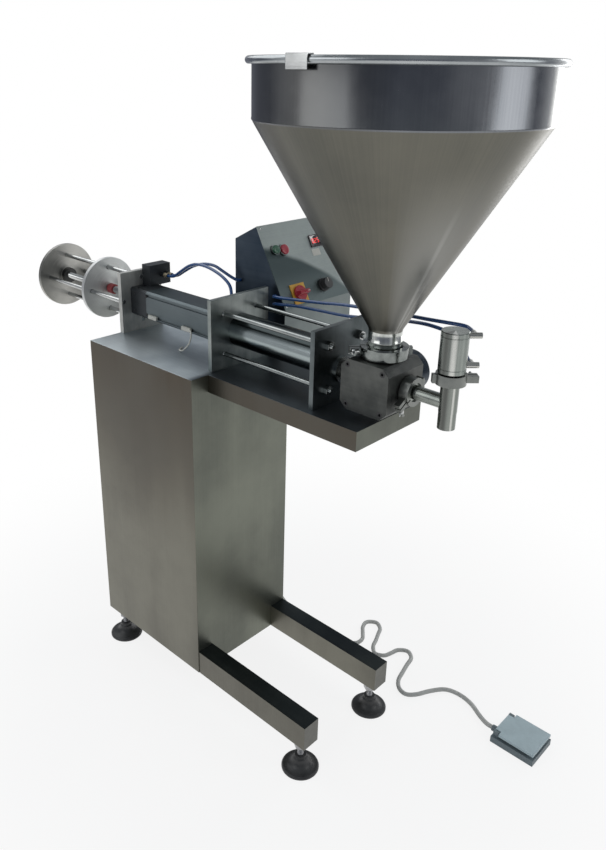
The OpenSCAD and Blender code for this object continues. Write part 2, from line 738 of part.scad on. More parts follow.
screw_d = 8;
screw_grip = 20;
head_d = 13;
head_l = 8;
module valve_cover() color(dark_steel) machine() difference() {
    valve_block(body_y0 - cover_t, body_y0);
    for (s = [-1, 1], t = [-1, 1]) {
        rod_y([valve_x + s * screw_pitch / 2, body_y0 - cover_t - over, valve_z + t * screw_pitch / 2],
              screw_d, cover_t + 2 * over);
        rod_y([valve_x + s * screw_pitch / 2, body_y0 - cover_t - over, valve_z + t * screw_pitch / 2],
              head_d, head_l + over);
    }
}

module cover_screws() color(black) machine()
    for (s = [-1, 1], t = [-1, 1])
        translate([valve_x + s * screw_pitch / 2, body_y0 - cover_t, valve_z + t * screw_pitch / 2])
            difference() {
                union() {
                    rod_y([0, 0, 0], head_d, head_l);
                    rod_y([0, head_l - over, 0], screw_d, cover_t - head_l + screw_grip + over);
                }
                translate([0, -over, 0]) rotate([-90, 0, 0]) cylinder(d = 7, h = 5 + over, $fn = 6);
            }

module valve_rotor() color(polished) machine() difference() {
    union() {
        rod_y([valve_x, body_y0 + rotor_gap, valve_z], rotor_d, valve_d - back_wall - 2 * rotor_gap);
        rod_y([valve_x, body_y1 - back_wall - over, valve_z], drive_d, back_wall + 26);
    }
    rod_z([valve_x, 0, valve_z - rotor_d], port_d, 2 * rotor_d);
    rod_x([valve_x - rotor_d, 0, valve_z], port_d, rotor_d);
}

module valve_actuator() color(grey_black) machine() difference() {
    union() {
        rod_y([valve_x, body_y1, valve_z], actuator_d - 20, 10 + over);
        rod_y([valve_x, body_y1 + 10, valve_z], actuator_d, actuator_l - 10);
    }
    rod_y([valve_x, body_y1 - over, valve_z], drive_d + 2 * clear, 30 + over);
}

// ---- Hopper ----

module hopper_shell() color(steel) machine() translate([valve_x, 0, 0]) {
    ri = neck_d / 2 - hopper_t;
    rc = hopper_d / 2;
    slant = hopper_t * 1.1;
    rotate_extrude($fn = 96) polygon([
        [ri, hopper_z0], [neck_flange_d / 2, hopper_z0], [neck_flange_d / 2, hopper_z0 + flange_t],
        [neck_d / 2, hopper_z0 + flange_t], [neck_d / 2, neck_top_z], [rc, cone_top_z],
        [rc, rim_z - rim_h], [rim_d / 2, rim_z - rim_h], [rim_d / 2, rim_z], [rc - hopper_t, rim_z],
        [rc - hopper_t, cone_top_z + slant], [ri, neck_top_z + slant]]);
}

clip_w = 46;
module rim_clip() color(polished) machine() translate([valve_x, -rim_d / 2, rim_z]) {
    span([-clip_w / 2, -2.5, -rim_h - 8], [clip_w / 2, 0, 2.5]);
    span([-clip_w / 2, -2.5, 0], [clip_w / 2, 14, 2.5]);
}

// A two-lip clamp band round a ferrule joint, about +Z from the joint's lower flange
ear_l = 22;
ear_w = 14;
ear_y = 10;
bolt_out = 14;
bolt_d = 6;
module clamp_band(flange_d, inner_d) {
    r1 = flange_d / 2 + clear;
    r2 = r1 + clamp_wall;
    h = joint_h + 2 * clamp_lip;
    translate([0, 0, -clamp_lip]) difference() {
        union() {
            cylinder(r = r2, h = h);
            span([r2 - 3, -ear_y, h / 2 - ear_w / 2], [r2 + ear_l, ear_y, h / 2 + ear_w / 2]);
            span([-r2 - 7, -6, 2], [-r2 + 3, 6, h - 2]);
        }
        translate([0, 0, clamp_lip]) cylinder(r = r1, h = joint_h);
        translate([0, 0, -over]) cylinder(d = inner_d, h = h + 2 * over);
        span([r1 - 6, -1.5, -over], [r2 + ear_l + over, 1.5, h + over]);
    }
}
// Bolt of a clamp, which stands across its ears
bolt_l = 20;
module clamp_bolt(flange_d) {
    r2 = flange_d / 2 + clear + clamp_wall;
    rod_y([r2 + bolt_out, ear_y, joint_h / 2], bolt_d, bolt_l);
}
nut_gap = 0.3;
module wing_nut(flange_d) {
    r2 = flange_d / 2 + clear + clamp_wall;
    translate([r2 + bolt_out, ear_y + nut_gap, joint_h / 2]) difference() {
        union() {
            rod_y([0, 0, 0], 12, 9);
            span([-13, 3, -2.5], [13, 14, 2.5]);
        }
        rod_y([0, -over, 0], bolt_d + 2 * clear, 16);
    }
}

// Places of the three clamp joints: from a joint's lower flange, turned towards its ears
hopper_ear_a = 225;
outlet_ear_a = -60;
nozzle_ear_a = 45;
module at_hopper_joint() {
    translate([valve_x, 0, hopper_z0 - gasket_t - flange_t]) rotate([0, 0, hopper_ear_a]) children();
}
module at_outlet_joint() {
    translate([outlet_flange_x, 0, valve_z]) rotate([0, 90, 0]) rotate([0, 0, outlet_ear_a]) children();
}
module at_nozzle_joint() {
    translate([nozzle_x, 0, nozzle_flange_z]) rotate([0, 0, nozzle_ear_a]) children();
}

module hopper_clamp() color(polished) machine() at_hopper_joint() {
    clamp_band(neck_flange_d, neck_d + 6);
    clamp_bolt(neck_flange_d);
}
module hopper_wing_nut() color(polished) machine() at_hopper_joint() wing_nut(neck_flange_d);

module pipe_clamps() color(polished) machine() {
    at_outlet_joint() {
        clamp_band(pipe_flange_d, nozzle_d + 4);
        clamp_bolt(pipe_flange_d);
    }
    at_nozzle_joint() {
        clamp_band(pipe_flange_d, nozzle_d + 4);
        clamp_bolt(pipe_flange_d);
    }
}
module outlet_wing_nut() color(polished) machine() at_outlet_joint() wing_nut(pipe_flange_d);
module nozzle_wing_nut() color(polished) machine() at_nozzle_joint() wing_nut(pipe_flange_d);

module gasket(outer_d, inner_d) {
    translate([0, 0, flange_t]) difference() {
        cylinder(d = outer_d, h = gasket_t);
        translate([0, 0, -over]) cylinder(d = inner_d, h = gasket_t + 2 * over);
    }
}
module clamp_gaskets() color(white) machine() {
    at_hopper_joint() gasket(neck_flange_d, neck_d - 2 * hopper_t);
    at_outlet_joint() gasket(pipe_flange_d, outlet_d - 2 * pipe_t);
    at_nozzle_joint() gasket(pipe_flange_d, nozzle_d - 2 * pipe_t);
}

// ---- Outlet and shut-off nozzle ----

tee_x0 = outlet_flange_x + flange_t + gasket_t;
seat_d = 22.4;
seat_h = 6;
plunger_rod_d = 10;
module outlet_tee() color(steel) machine() difference() {
    union() {
        rod_x([tee_x0, 0, valve_z], pipe_flange_d, flange_t);
        rod_x([tee_x0, 0, valve_z], outlet_d, nozzle_x - tee_x0);
        rod_z([nozzle_x, 0, nozzle_end_z], nozzle_d, spout_l + over);
        rod_z([nozzle_x, 0, nozzle_end_z + spout_l], nozzle_d + 2 * spout_step,
              nozzle_flange_z - nozzle_end_z - spout_l);
        rod_z([nozzle_x, 0, nozzle_flange_z], pipe_flange_d, flange_t);
    }
    rod_x([tee_x0 - over, 0, valve_z], outlet_d - 2 * pipe_t, nozzle_x - tee_x0 + over);
    rod_z([nozzle_x, 0, nozzle_end_z + seat_h], nozzle_d - 2 * pipe_t,
          nozzle_flange_z + flange_t - nozzle_end_z - seat_h + over);
    rod_z([nozzle_x, 0, nozzle_end_z - over], seat_d, seat_h + 2 * over);
}

guide_l = 18;
head_wall = 8;
air_chamber_d = nozzle_cyl_d - 8;
air_chamber_z = nozzle_cyl_z + flange_t + guide_l;
module nozzle_cylinder() color(steel) machine() difference() {
    union() {
        rod_z([nozzle_x, 0, nozzle_cyl_z], pipe_flange_d, flange_t);
        rod_z([nozzle_x, 0, nozzle_cyl_z], nozzle_d, nozzle_cyl_z0 + over - nozzle_cyl_z);
        rod_z([nozzle_x, 0, nozzle_cyl_z0], nozzle_cyl_d, nozzle_cyl_h);
    }
    rod_z([nozzle_x, 0, nozzle_cyl_z - over], plunger_rod_d + 2 * guide_clear, guide_l + 20);
    rod_z([nozzle_x, 0, air_chamber_z], air_chamber_d, nozzle_top_z - head_wall - air_chamber_z);
}

plunger_piston_h = 12;
module nozzle_plunger() color(polished) machine() {
    tip_z = nozzle_end_z + 1;
    piston_z = air_chamber_z + 3;
    rod_z([nozzle_x, 0, tip_z], seat_d - 2 * clear, 10);
    rod_z([nozzle_x, 0, tip_z + 5], plunger_rod_d, piston_z - tip_z);
    rod_z([nozzle_x, 0, piston_z], air_chamber_d - 2 * clear, plunger_piston_h);
}

module nozzle_fittings() color([0.7, 0.7, 0.66]) machine() translate([nozzle_x, 0, 0])
    rotate([0, 0, fitting_a]) for (z = fitting_zs) difference() {
        union() {
            rod_x([nozzle_cyl_d / 2 - 4, 0, z], fitting_d, fitting_reach + 4);
            rod_y([nozzle_cyl_d / 2 + collar_out, 0, z], fitting_d, collar_l);
        }
        rod_z([0, 0, z - fitting_d], nozzle_cyl_d, 2 * fitting_d);
    }

// ---- Console ----

// Corner where two offset lines of the console's outline meet
function console_outline(t) =
    let (roof_x = console_back_x + t,
         roof_z = roof_back[1] + t * (st - 1) / ct,
         top = panel_top - t * [ct, st] - t * [-st, ct],
         foot_x = console_front_x - t,
         foot_z = panel_top[1] - (foot_x - panel_top[0] + t * ct) * ct / st - t * st)
    [[console_back_x + t, console_z + t], [roof_x, roof_z], top, [foot_x, foot_z],
     [foot_x, console_z + t]];

module console_block(t) {
    translate([0, console_y + t, 0]) mirror([0, 1, 0]) rotate([90, 0, 0])
        linear_extrude(console_w - 2 * t) polygon(console_outline(t));
}

// Places a piece on the sloping panel: x across, y up the slope, z out of it, from its top edge
module on_panel(u, v, w = 0) {
    translate([panel_top[0], console_y, panel_top[1]]) rotate([0, -panel_tilt, 0])
        rotate([90, 0, 90]) translate([u, -v, w]) children();
}

module console_shell() color(steel) machine() difference() {
    console_block(0);
    console_block(console_t);
    on_panel(panel_margin, panel_l - panel_margin, -console_t - over)
        cube([console_w - 2 * panel_margin, panel_l - 2 * panel_margin, console_t + 2 * over]);
}

// Places of the two push buttons on the panel, with their radii
buttons = [[62, 71, red_r], [33, 67, green_r]];
button_gap = 0.5;
bezel_w = 2.5;
switch_at = [65, 188];
timer_at = [162, 182];
display_at = [188, 64];
display_w = 38;
display_h = 27;
module console_panel() color(steel) machine() difference() {
    union() {
        on_panel(0, panel_l, 0) cube([console_w, panel_l, panel_t]);
        for (b = buttons) on_panel(b[0], b[1], panel_t) cylinder(r = b[2] + bezel_w, h = bezel_h);
    }
    for (b = buttons) {
        on_panel(b[0], b[1], -over) cylinder(d = button_stem_d + 2 * clear, h = panel_t + bezel_h + 2 * over);
        on_panel(b[0], b[1], panel_t) cylinder(r = b[2] + button_gap, h = bezel_h + over);
    }
    on_panel(switch_at[0], switch_at[1], -over) cylinder(d = 16, h = panel_t + 2 * over);
    on_panel(timer_at[0], timer_at[1], -over) cylinder(d = 10 + 2 * clear, h = panel_t + 2 * over);
    on_panel(display_at[0] - display_w / 2, display_at[1] + display_h / 2, -over)
        cube([display_w, display_h, panel_t + 2 * over]);
}

module button(b) on_panel(b[0], b[1], 0) {
    translate([0, 0, -14]) cylinder(d = button_stem_d, h = 14 + panel_t + 4);
    translate([0, 0, panel_t + button_travel + clear]) cylinder(r = b[2], h = 7);
}
button_travel = 3;
module red_button() color(red) machine() button(buttons[0]);
module green_button() color(green) machine() button(buttons[1]);

module display() color(black) machine() {
    on_panel(display_at[0] - display_w / 2, display_at[1] + display_h / 2, -30)
        cube([display_w, display_h, 30 + panel_t]);
    on_panel(display_at[0] - display_w / 2 - 3, display_at[1] + display_h / 2 + 3, panel_t)
        cube([display_w + 6, display_h + 6, 3]);
}

plate_t = 3;
module main_switch_plate() color(yellow) machine() {
    on_panel(switch_at[0], switch_at[1], panel_t) difference() {
        translate([-switch_plate_w / 2, -switch_plate_w / 2, 0]) cube([switch_plate_w, switch_plate_w, plate_t]);
        translate([0, 0, -over]) cylinder(d = 16, h = plate_t + 2 * over);
    }
}
module main_switch_knob() color(red) machine() on_panel(switch_at[0], switch_at[1], 0) {
    translate([0, 0, -30]) cylinder(d = 16 - 2 * clear, h = 30 + panel_t + plate_t + 3);
    translate([0, 0, panel_t + plate_t + clear]) {
        cylinder(d = 40, h = 8);
        translate([-19, -7, 7]) cube([38, 14, 16]);
    }
}
module timer_knob() color(black) machine() on_panel(timer_at[0], timer_at[1], 0) {
    translate([0, 0, -12]) cylinder(d = 10, h = 12 + panel_t + 3);
    translate([0, 0, panel_t + clear]) cylinder(d = 36, h = 6);
    translate([0, 0, panel_t + 6]) cylinder(d = 30, h = 16);
}

module solenoid_valves() color(alloy) machine() {
    x0 = console_back_x + 30;
    z0 = console_z + console_t;
    span([x0, console_y + 60, z0], [x0 + 60, console_y + 170, z0 + 18]);
    for (i = [0 : 3])
        span([x0 + 10, console_y + 64 + 26 * i, z0 + 18], [x0 + 50, console_y + 84 + 26 * i, z0 + 70]);
}

bracket_t = 4;
bracket_w = 90;
module console_bracket() color(steel) machine() {
    x0 = console_back_x + 30;
    y1 = cabinet_y - 4;
    span([x0, console_y, deck_h], [x0 + bracket_w, y1, deck_h + bracket_t]);
    for (y = [console_y, y1 - bracket_t])
        span([x0, y, deck_h], [x0 + bracket_w, y + bracket_t, console_z]);
    span([x0, console_y, console_z - bracket_t], [x0 + bracket_w, console_y + console_w - 30, console_z]);
}

// ---- Foot switch ----

gland_l = 27;
module cord_gland() color(black) machine() translate([gland_x, gland_y, gland_z]) rotate([-90, 0, 0]) {
    cylinder(d = 24, h = 6, $fn = 6);
    cylinder(d = 17, h = 15);
    translate([0, 0, 15]) cylinder(d1 = 17, d2 = cord_d + 3, h = gland_l - 15);
}

module foot_switch_base() color(grey_black) machine() difference() {
    union() {
        span([switch_x, switch_y, 0], [switch_x + switch_l, switch_y + switch_w, switch_base_h]);
        for (y = [switch_y + 6, switch_y + switch_w - 14])
            span([hinge_x - 7, y, switch_base_h - over], [hinge_x + 7, y + 8, hinge_z + 7]);
        rod_y([hinge_x, switch_y + 14 - over, hinge_z], 6, switch_w - 28 + 2 * over);
        rod_x([switch_x - cord_boss_l, cord_y, cord_boss_z], cord_boss_d, cord_boss_l + over);
    }
    rod_x([switch_x - cord_boss_l - over, cord_y, cord_boss_z], cord_d, cord_boss_l + 2 * over);
    span([switch_x + 26, switch_y + 10, 6], [switch_x + switch_l - 10, switch_y + switch_w - 10,
         switch_base_h + over]);
}

module foot_pedal() color(pale_blue) machine() difference() {
    union() {
        span([hinge_x + 10, switch_y + 2, pedal_z], [switch_x + switch_l - 2, switch_y + switch_w - 2,
             pedal_z + pedal_t]);
        span([hinge_x - 6, switch_y + 16, pedal_z], [hinge_x + 11, switch_y + switch_w - 16, pedal_z + pedal_t]);
        rod_y([hinge_x, switch_y + 16, hinge_z], 14, switch_w - 32);
    }
    rod_y([hinge_x, switch_y, hinge_z], 6 + 2 * guide_clear, switch_w);
}

module foot_switch_cord() color(cord_grey) machine() hose(CORD, cord_d, 2, 8);

base_frame();
foot_front_right();
foot_front_left();
foot_rear_right();
foot_rear_left();
cabinet_shell();
rear_cover();
air_inlet_port();
tray();
rear_plate();
cylinder_caps();
air_barrel();
barrel_rear_plate();
barrel_front_plate();
product_barrel();
tie_rods();
tie_rod_nuts();
piston_rod();
air_piston();
product_piston();
piston_seals();
rod_bumper();
cage_rods();
end_disc();
stop_disc();
stop_spindle();
rear_air_valve();
reed_sensor();
air_hoses();
valve_body();
valve_cover();
cover_screws();
valve_rotor();
valve_actuator();
hopper_shell();
rim_clip();
hopper_clamp();
hopper_wing_nut();
clamp_gaskets();
outlet_tee();
pipe_clamps();
outlet_wing_nut();
nozzle_wing_nut();
nozzle_cylinder();
nozzle_plunger();
nozzle_fittings();
console_bracket();
console_shell();
console_panel();
display();
red_button();
green_button();
main_switch_plate();
main_switch_knob();
timer_knob();
solenoid_valves();
cord_gland();
foot_switch_base();
foot_pedal();
foot_switch_cord();
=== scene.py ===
"""Dresses the piston filling machine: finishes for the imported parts, and the finer pieces on them."""

import json
import logging
import math
from dataclasses import dataclass, field
from enum import Enum
from typing import Callable, Iterable, Sequence

import bpy
from mathutils import Matrix, Vector


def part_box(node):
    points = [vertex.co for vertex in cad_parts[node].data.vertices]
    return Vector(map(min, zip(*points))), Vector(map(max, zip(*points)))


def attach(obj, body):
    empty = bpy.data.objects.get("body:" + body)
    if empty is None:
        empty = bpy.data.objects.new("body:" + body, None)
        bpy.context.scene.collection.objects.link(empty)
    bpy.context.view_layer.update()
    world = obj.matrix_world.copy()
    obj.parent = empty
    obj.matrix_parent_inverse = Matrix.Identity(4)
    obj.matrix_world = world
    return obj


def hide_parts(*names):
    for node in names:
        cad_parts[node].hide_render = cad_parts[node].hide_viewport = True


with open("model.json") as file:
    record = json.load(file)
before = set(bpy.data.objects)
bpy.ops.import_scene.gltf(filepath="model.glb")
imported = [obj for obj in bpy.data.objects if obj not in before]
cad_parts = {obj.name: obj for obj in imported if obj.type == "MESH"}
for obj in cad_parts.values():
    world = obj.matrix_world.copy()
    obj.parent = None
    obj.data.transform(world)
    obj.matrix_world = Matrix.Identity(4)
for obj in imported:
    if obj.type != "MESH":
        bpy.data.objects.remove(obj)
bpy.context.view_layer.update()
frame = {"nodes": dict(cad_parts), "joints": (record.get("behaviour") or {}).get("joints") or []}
log = logging.getLogger("filler")

Colour = tuple[float, float, float]
Point = tuple[float, float, float]
Outline = list[tuple[float, float]]
Piece = bpy.types.Object

MM = 0.001
ORIGIN = Vector((-391.0, -39.0, 0.0))
X, Y, Z = Vector((1, 0, 0)), Vector((0, 1, 0)), Vector((0, 0, 1))
AXIS_Z = 1033.0
VALVE_X, VALVE_Z = 830.0, 1017.0
NOZZLE_X = 991.0
ROOT = "machine"
ANYWHERE = 3.0


def at(x: float, y: float, z: float) -> Vector:
    """A place given in the machine's own millimetres, in the frame's metres.

    Args:
        x: distance from the cabinet's back.
        y: distance from the piston line, towards the console.
        z: height above the floor.

    Returns:
        The same place in metres, in the shared frame.
    """
    return (ORIGIN + Vector((x, y, z))) * MM


def columns(x: Vector, y: Vector, z: Vector, place: Vector) -> Matrix:
    """The matrix with these axes, at this place."""
    return Matrix((*zip(x, y, z, place), (0, 0, 0, 1)))


def frame_at(place: Vector, up: Vector, across: Vector | None = None) -> Matrix:
    """A matrix that stands a piece built about +Z at a place.

    Args:
        place: where the piece's own origin goes, in metres.
        up: where the piece's +Z points.
        across: where its +X points, roughly.

    Returns:
        The matrix of that place and turn.
    """
    z = up.normalized()
    hint = across if across is not None else (X if abs(z.x) < 0.9 else Y)
    x = (hint - z * hint.dot(z)).normalized()
    return columns(x, z.cross(x), z, place)


# ---------------------------------------------------------------- shader maths


class Sock:
    """A socket that can be added, subtracted and multiplied like a number."""

    def __init__(self, graph: "Graph", socket: bpy.types.NodeSocket) -> None:
        """Keeps the socket and the graph that it belongs to."""
        self.graph = graph
        self.socket = socket

    def __add__(self, other: "Sock | float") -> "Sock":
        """The sum."""
        return self.graph.maths("ADD", self, other)

    __radd__ = __add__

    def __sub__(self, other: "Sock | float") -> "Sock":
        """This less the other."""
        return self.graph.maths("SUBTRACT", self, other)

    def __rsub__(self, other: "Sock | float") -> "Sock":
        """The other less this."""
        return self.graph.maths("SUBTRACT", other, self)

    def __mul__(self, other: "Sock | float") -> "Sock":
        """The product."""
        return self.graph.maths("MULTIPLY", self, other)

    __rmul__ = __mul__

    def clamp(self) -> "Sock":
        """This, kept from 0 to 1."""
        return self.graph.node("ShaderNodeClamp", {}, {"Value": self})

    def ramp(self, low: float, high: float) -> "Sock":
        """A smooth step from 0 at low to 1 at high."""
        return self.graph.node("ShaderNodeMapRange", {"interpolation_type": "SMOOTHSTEP"},
                               {"Value": self, "From Min": low, "From Max": high})


class Graph:
    """The node tree of one material, or of the world, with short ways to add to it."""

    def __init__(self, name: str, tree: bpy.types.NodeTree | None = None) -> None:
        """Starts with an empty tree: a new material's, unless one is given."""
        if tree is None:
            self.material = bpy.data.materials.new(name)
            self.material.use_nodes = True
            tree = self.material.node_tree
        self.tree = tree
        self.tree.nodes.clear()
        self._coords: Sock | None = None

    def node(self, kind: str, settings: dict[str, object], inputs: dict[object, object],
             output: int | str = 0) -> Sock:
        """Adds one node.

        Args:
            kind: the node's type.
            settings: its own settings, such as a Math node's operation.
            inputs: values or links of its sockets, by name or number.
            output: which of its outputs comes back.

        Returns:
            The chosen output.
        """
        made = self.tree.nodes.new(kind)
        for key, value in settings.items():
            setattr(made, key, value)
        for key, value in inputs.items():
            if isinstance(value, Sock):
                self.tree.links.new(value.socket, made.inputs[key])
            else:
                made.inputs[key].default_value = value
        return Sock(self, made.outputs[output])

    def outputs(self, kind: str, *names: str) -> list[Sock]:
        """Adds one node without inputs, and gives the named outputs."""
        made = self.tree.nodes.new(kind)
        return [Sock(self, made.outputs[name]) for name in names]

    def maths(self, kind: str, *values: Sock | float) -> Sock:
        """Adds one Math node that works on the values."""
        return self.node("ShaderNodeMath", {"operation": kind}, dict(enumerate(values)))

    def vector_maths(self, kind: str, *values: Sock | Point, output: str = "Vector") -> Sock:
        """Adds one Vector Math node that works on the values."""
        return self.node("ShaderNodeVectorMath", {"operation": kind}, dict(enumerate(values)), output)

    def joined(self, x: Sock | float, y: Sock | float, z: float) -> Sock:
        """A vector made of three values."""
        return self.node("ShaderNodeCombineXYZ", {}, {0: x, 1: y, 2: z})

    def split(self, vector: Sock) -> list[Sock]:
        """A vector's three values."""
        made = self.tree.nodes.new("ShaderNodeSeparateXYZ")
        self.tree.links.new(vector.socket, made.inputs[0])
        return [Sock(self, output) for output in made.outputs]

    def coords(self) -> Sock:
        """The piece's own coordinates."""
        if self._coords is None:
            self._coords = self.node("ShaderNodeTexCoord", {}, {}, "Object")
        return self._coords

    def local(self, centre: Point) -> Sock:
        """The piece's coordinates, measured from a centre."""
        return self.vector_maths("SUBTRACT", self.coords(), centre)

    def mapped(self, scale: Sequence[float], shift: Point = (0.0, 0.0, 0.0)) -> Sock:
        """The piece's coordinates, moved by shift and then scaled."""
        return self.vector_maths("MULTIPLY", self.vector_maths("ADD", self.coords(), shift), tuple(scale))

    def noise(self, scale: float, detail: float = 2.0, rough: float = 0.5, over: Sock | None = None) -> Sock:
        """Noise from 0 to 1 over the piece's coordinates, or over another vector."""
        return self.node("ShaderNodeTexNoise", {}, {"Vector": over or self.coords(), "Scale": scale,
                                                    "Detail": detail, "Roughness": rough})

    def streaks(self, scale: Sequence[float]) -> Sock:
        """The fine streaks of a brushed face."""
        return self.noise(1.0, 3.0, 0.6, self.mapped(scale))

    @staticmethod
    def sway(middle: Sock | float, *parts: tuple[Sock, float]) -> Sock:
        """A value that sways with several noises.

        Args:
            middle: the value where every noise is at its middle.
            parts: each noise, with how far it moves the value.

        Returns:
            The value, kept from 0 to 1.
        """
        total = middle
        for noise, reach in parts:
            total = (noise - 0.5) * reach + total
        return total.clamp()

    @staticmethod
    def rgba(colour: Sock | Colour) -> Sock | tuple[float, float, float, float]:
        """A colour with its alpha, or the socket that gives it."""
        return colour if isinstance(colour, Sock) else (*colour, 1.0)

    def mix(self, factor: Sock, first: Sock | Colour, second: Sock | Colour) -> Sock:
        """Mixes two colours."""
        return self.node("ShaderNodeMix", {"data_type": "RGBA"},
                         {0: factor, 6: self.rgba(first), 7: self.rgba(second)}, 2)

    def surface(self, base: Sock, rough: Sock, height: Sock, strength: float, distance: float,
                **constants: object) -> bpy.types.Material:
        """Finishes the material with one principled shader.

        Args:
            base: its colour.
            rough: its roughness.
            height: what raises its bump.
            strength: the bump's strength.
            distance: the bump's height in metres.
            constants: the other sockets' values, with spaces written as underscores.

        Returns:
            The material.
        """
        normal = self.node("ShaderNodeBump", {}, {"Height": height, "Strength": strength, "Distance": distance})
        inputs = {"Base Color": base, "Roughness": rough, "Normal": normal}
        inputs |= {key.replace("_", " "): value for key, value in constants.items()}
        self.close(self.node("ShaderNodeBsdfPrincipled", {}, inputs))
        return self.material

    def close(self, shader: Sock, output: str = "ShaderNodeOutputMaterial") -> None:
        """Links a shader to the tree's output."""
        self.tree.links.new(shader.socket, self.tree.nodes.new(output).inputs["Surface"])


# -------------------------------------------------------------------- finishes


class Grain(Enum):
    """The way a sheet was brushed, as the scale of its streaks along X, Y and Z."""

    ALONG_X = (3.0, 620.0, 620.0)
    ALONG_Y = (620.0, 3.0, 620.0)
    ALONG_Z = (620.0, 620.0, 3.0)
    EVEN = (260.0, 260.0, 260.0)


@dataclass(frozen=True)
class Finish:
    """What every two-toned finish has: a name, a light tone and a dark one."""

    name: str
    light: Colour
    dark: Colour


@dataclass(frozen=True)
class Steel(Finish):
    """Stainless steel sheet or bar, brushed one way, with faint smears and handling marks."""

    rough: float = 0.34
    grain: Grain = Grain.ALONG_Z
    cloud: float = 3.0
    cloud_depth: float = 2.42
    bump: float = 0.12
    metal: float = 1.0

    def material(self) -> bpy.types.Material:
        """Builds the finish."""
        g = Graph(self.name)
        streaks = g.streaks(self.grain.value)
        wide = g.noise(1.0, 2.0, over=g.mapped([v * 0.12 for v in self.grain.value]))
        clouds = g.noise(self.cloud, 3.0, 0.55)
        smears = g.noise(self.cloud * 6, 4.0, 0.65, g.mapped((1, 1, 1), (0.7, 0.3, 0.1)))
        tone = g.sway(0.5, (clouds, self.cloud_depth), (streaks, 0.35), (wide, 0.455), (smears, 0.35))
        rough = g.sway(self.rough, (streaks, 0.12), (smears, 0.16), (clouds, 0.1))
        return g.surface(g.mix(tone, self.dark, self.light), rough, streaks, self.bump, 0.0006, Metallic=self.metal)


@dataclass(frozen=True)
class TurnedSteel(Finish):
    """A face that was turned in rings about an axis along X, with a painted highlight: brighter and duller sectors
    that stand in for a turned face's bow-tie reflection.
    """

    centre: Point
    rough: float
    wedge_highlight: float = 0.5
    metal: float = 1.0

    def material(self) -> bpy.types.Material:
        """Builds the finish."""
        g = Graph(self.name)
        across = g.vector_maths("MULTIPLY", g.local(self.centre), (0, 1, 1))
        radius = g.vector_maths("LENGTH", across, output="Value")
        _, y, z = g.split(across)
        turn = g.maths("ARCTAN2", y, z)
        rings = g.noise(1.0, 3.0, 0.6, g.joined(radius * 900.0, turn * 0.6, 0.0))
        # painted highlight: bright and dull sectors for a turned face's bow-tie reflection
        painted_wedges = g.maths("SINE", turn * 2.0 + 0.7) * 0.5 + 0.5
        broad = g.noise(22.0, 3.0)
        tone = g.sway(0.5, (rings, 0.5), (painted_wedges, self.wedge_highlight), (broad, 0.6))
        rough = g.sway(self.rough, (rings, 0.16), (broad, 0.14))
        return g.surface(g.mix(tone, self.dark, self.light), rough, rings, 0.16, 0.0006, Metallic=self.metal)


@dataclass(frozen=True)
class Anodised(Finish):
    """Extruded or machined aluminium with a satin coat."""

    rough: float = 0.42
    metal: float = 0.85

    def material(self) -> bpy.types.Material:
        """Builds the finish."""
        g = Graph(self.name)
        lines = g.noise(1.0, 2.0, over=g.mapped([v * 0.5 for v in Grain.ALONG_X.value]))
        dust = g.noise(900.0, 2.0)
        clouds = g.noise(9.0, 3.0)
        tone = g.sway(0.5, (lines, 0.5), (clouds, 1.2))
        rough = g.sway(self.rough, (dust, 0.2), (clouds, 0.15))
        return g.surface(g.mix(tone, self.dark, self.light), rough, dust, 0.06, 0.0004, Metallic=self.metal)


@dataclass(frozen=True)
class Moulded:
    """Moulded plastic or rubber: fine grain, a little pale dust in random patches, worn shine."""

    name: str
    colour: Colour
    rough: float
    dust: float = 0.22
    coat: float = 0.0
    glow: Colour | None = None

    def material(self) -> bpy.types.Material:
        """Builds the finish."""
        g = Graph(self.name)
        fine = g.noise(1400.0, 2.0)
        patches = g.noise(26.0, 4.0, 0.6)
        marks = g.noise(120.0, 3.0, 0.7)
        pale = tuple(c + (0.32 - c) * self.dust * 0.7 + 0.015 for c in self.colour)
        deep = tuple(c * 0.8 for c in self.colour)
        tone = g.sway(0.4, (patches, 1.4), (marks, 0.5))
        rough = g.sway(self.rough, (patches, 0.2), (marks, 0.16))
        extra: dict[str, object] = {"Coat_Weight": self.coat, "Coat_Roughness": 0.12}
        if self.glow is not None:
            extra |= {"Emission_Color": g.rgba(self.glow), "Emission_Strength": 1.4}
        return g.surface(g.mix(tone, deep, pale), rough, fine, 0.12, 0.0003, **extra)


@dataclass(frozen=True)
class SheetFace(Finish):
    """Brushed sheet with painted shade: its tone runs from one height to another, darker towards the top."""

    top_shade: Colour
    low: float
    high: float = 0.95
    blotch: float = 0.6

    def material(self) -> bpy.types.Material:
        """Builds the finish."""
        g = Graph(self.name)
        height = g.split(g.coords())[2]
        streaks = g.streaks(Grain.ALONG_Z.value)
        waves = g.noise(1.0, 2.0, over=g.mapped((7.0, 7.0, 1.1)))
        clouds, smears = g.noise(2.6), g.noise(24.0, 4.0, 0.65)
        patches = (clouds * 0.6 + waves * 0.4).ramp(0.38, 0.62)
        # painted shade: the sheet darkens from its low height to its high one
        rise = g.sway(height.ramp(self.low, self.high), (waves, 0.9))
        tone = g.sway(patches * self.blotch, (streaks, 0.35), (smears, 0.3))
        rough = g.sway(patches * 0.06 + 0.36, (streaks, 0.12), (smears, 0.14))
        base = g.mix(tone, g.mix(rise, self.light, self.top_shade), self.dark)
        return g.surface(base, rough, streaks, 0.1, 0.0006, Metallic=1.0)


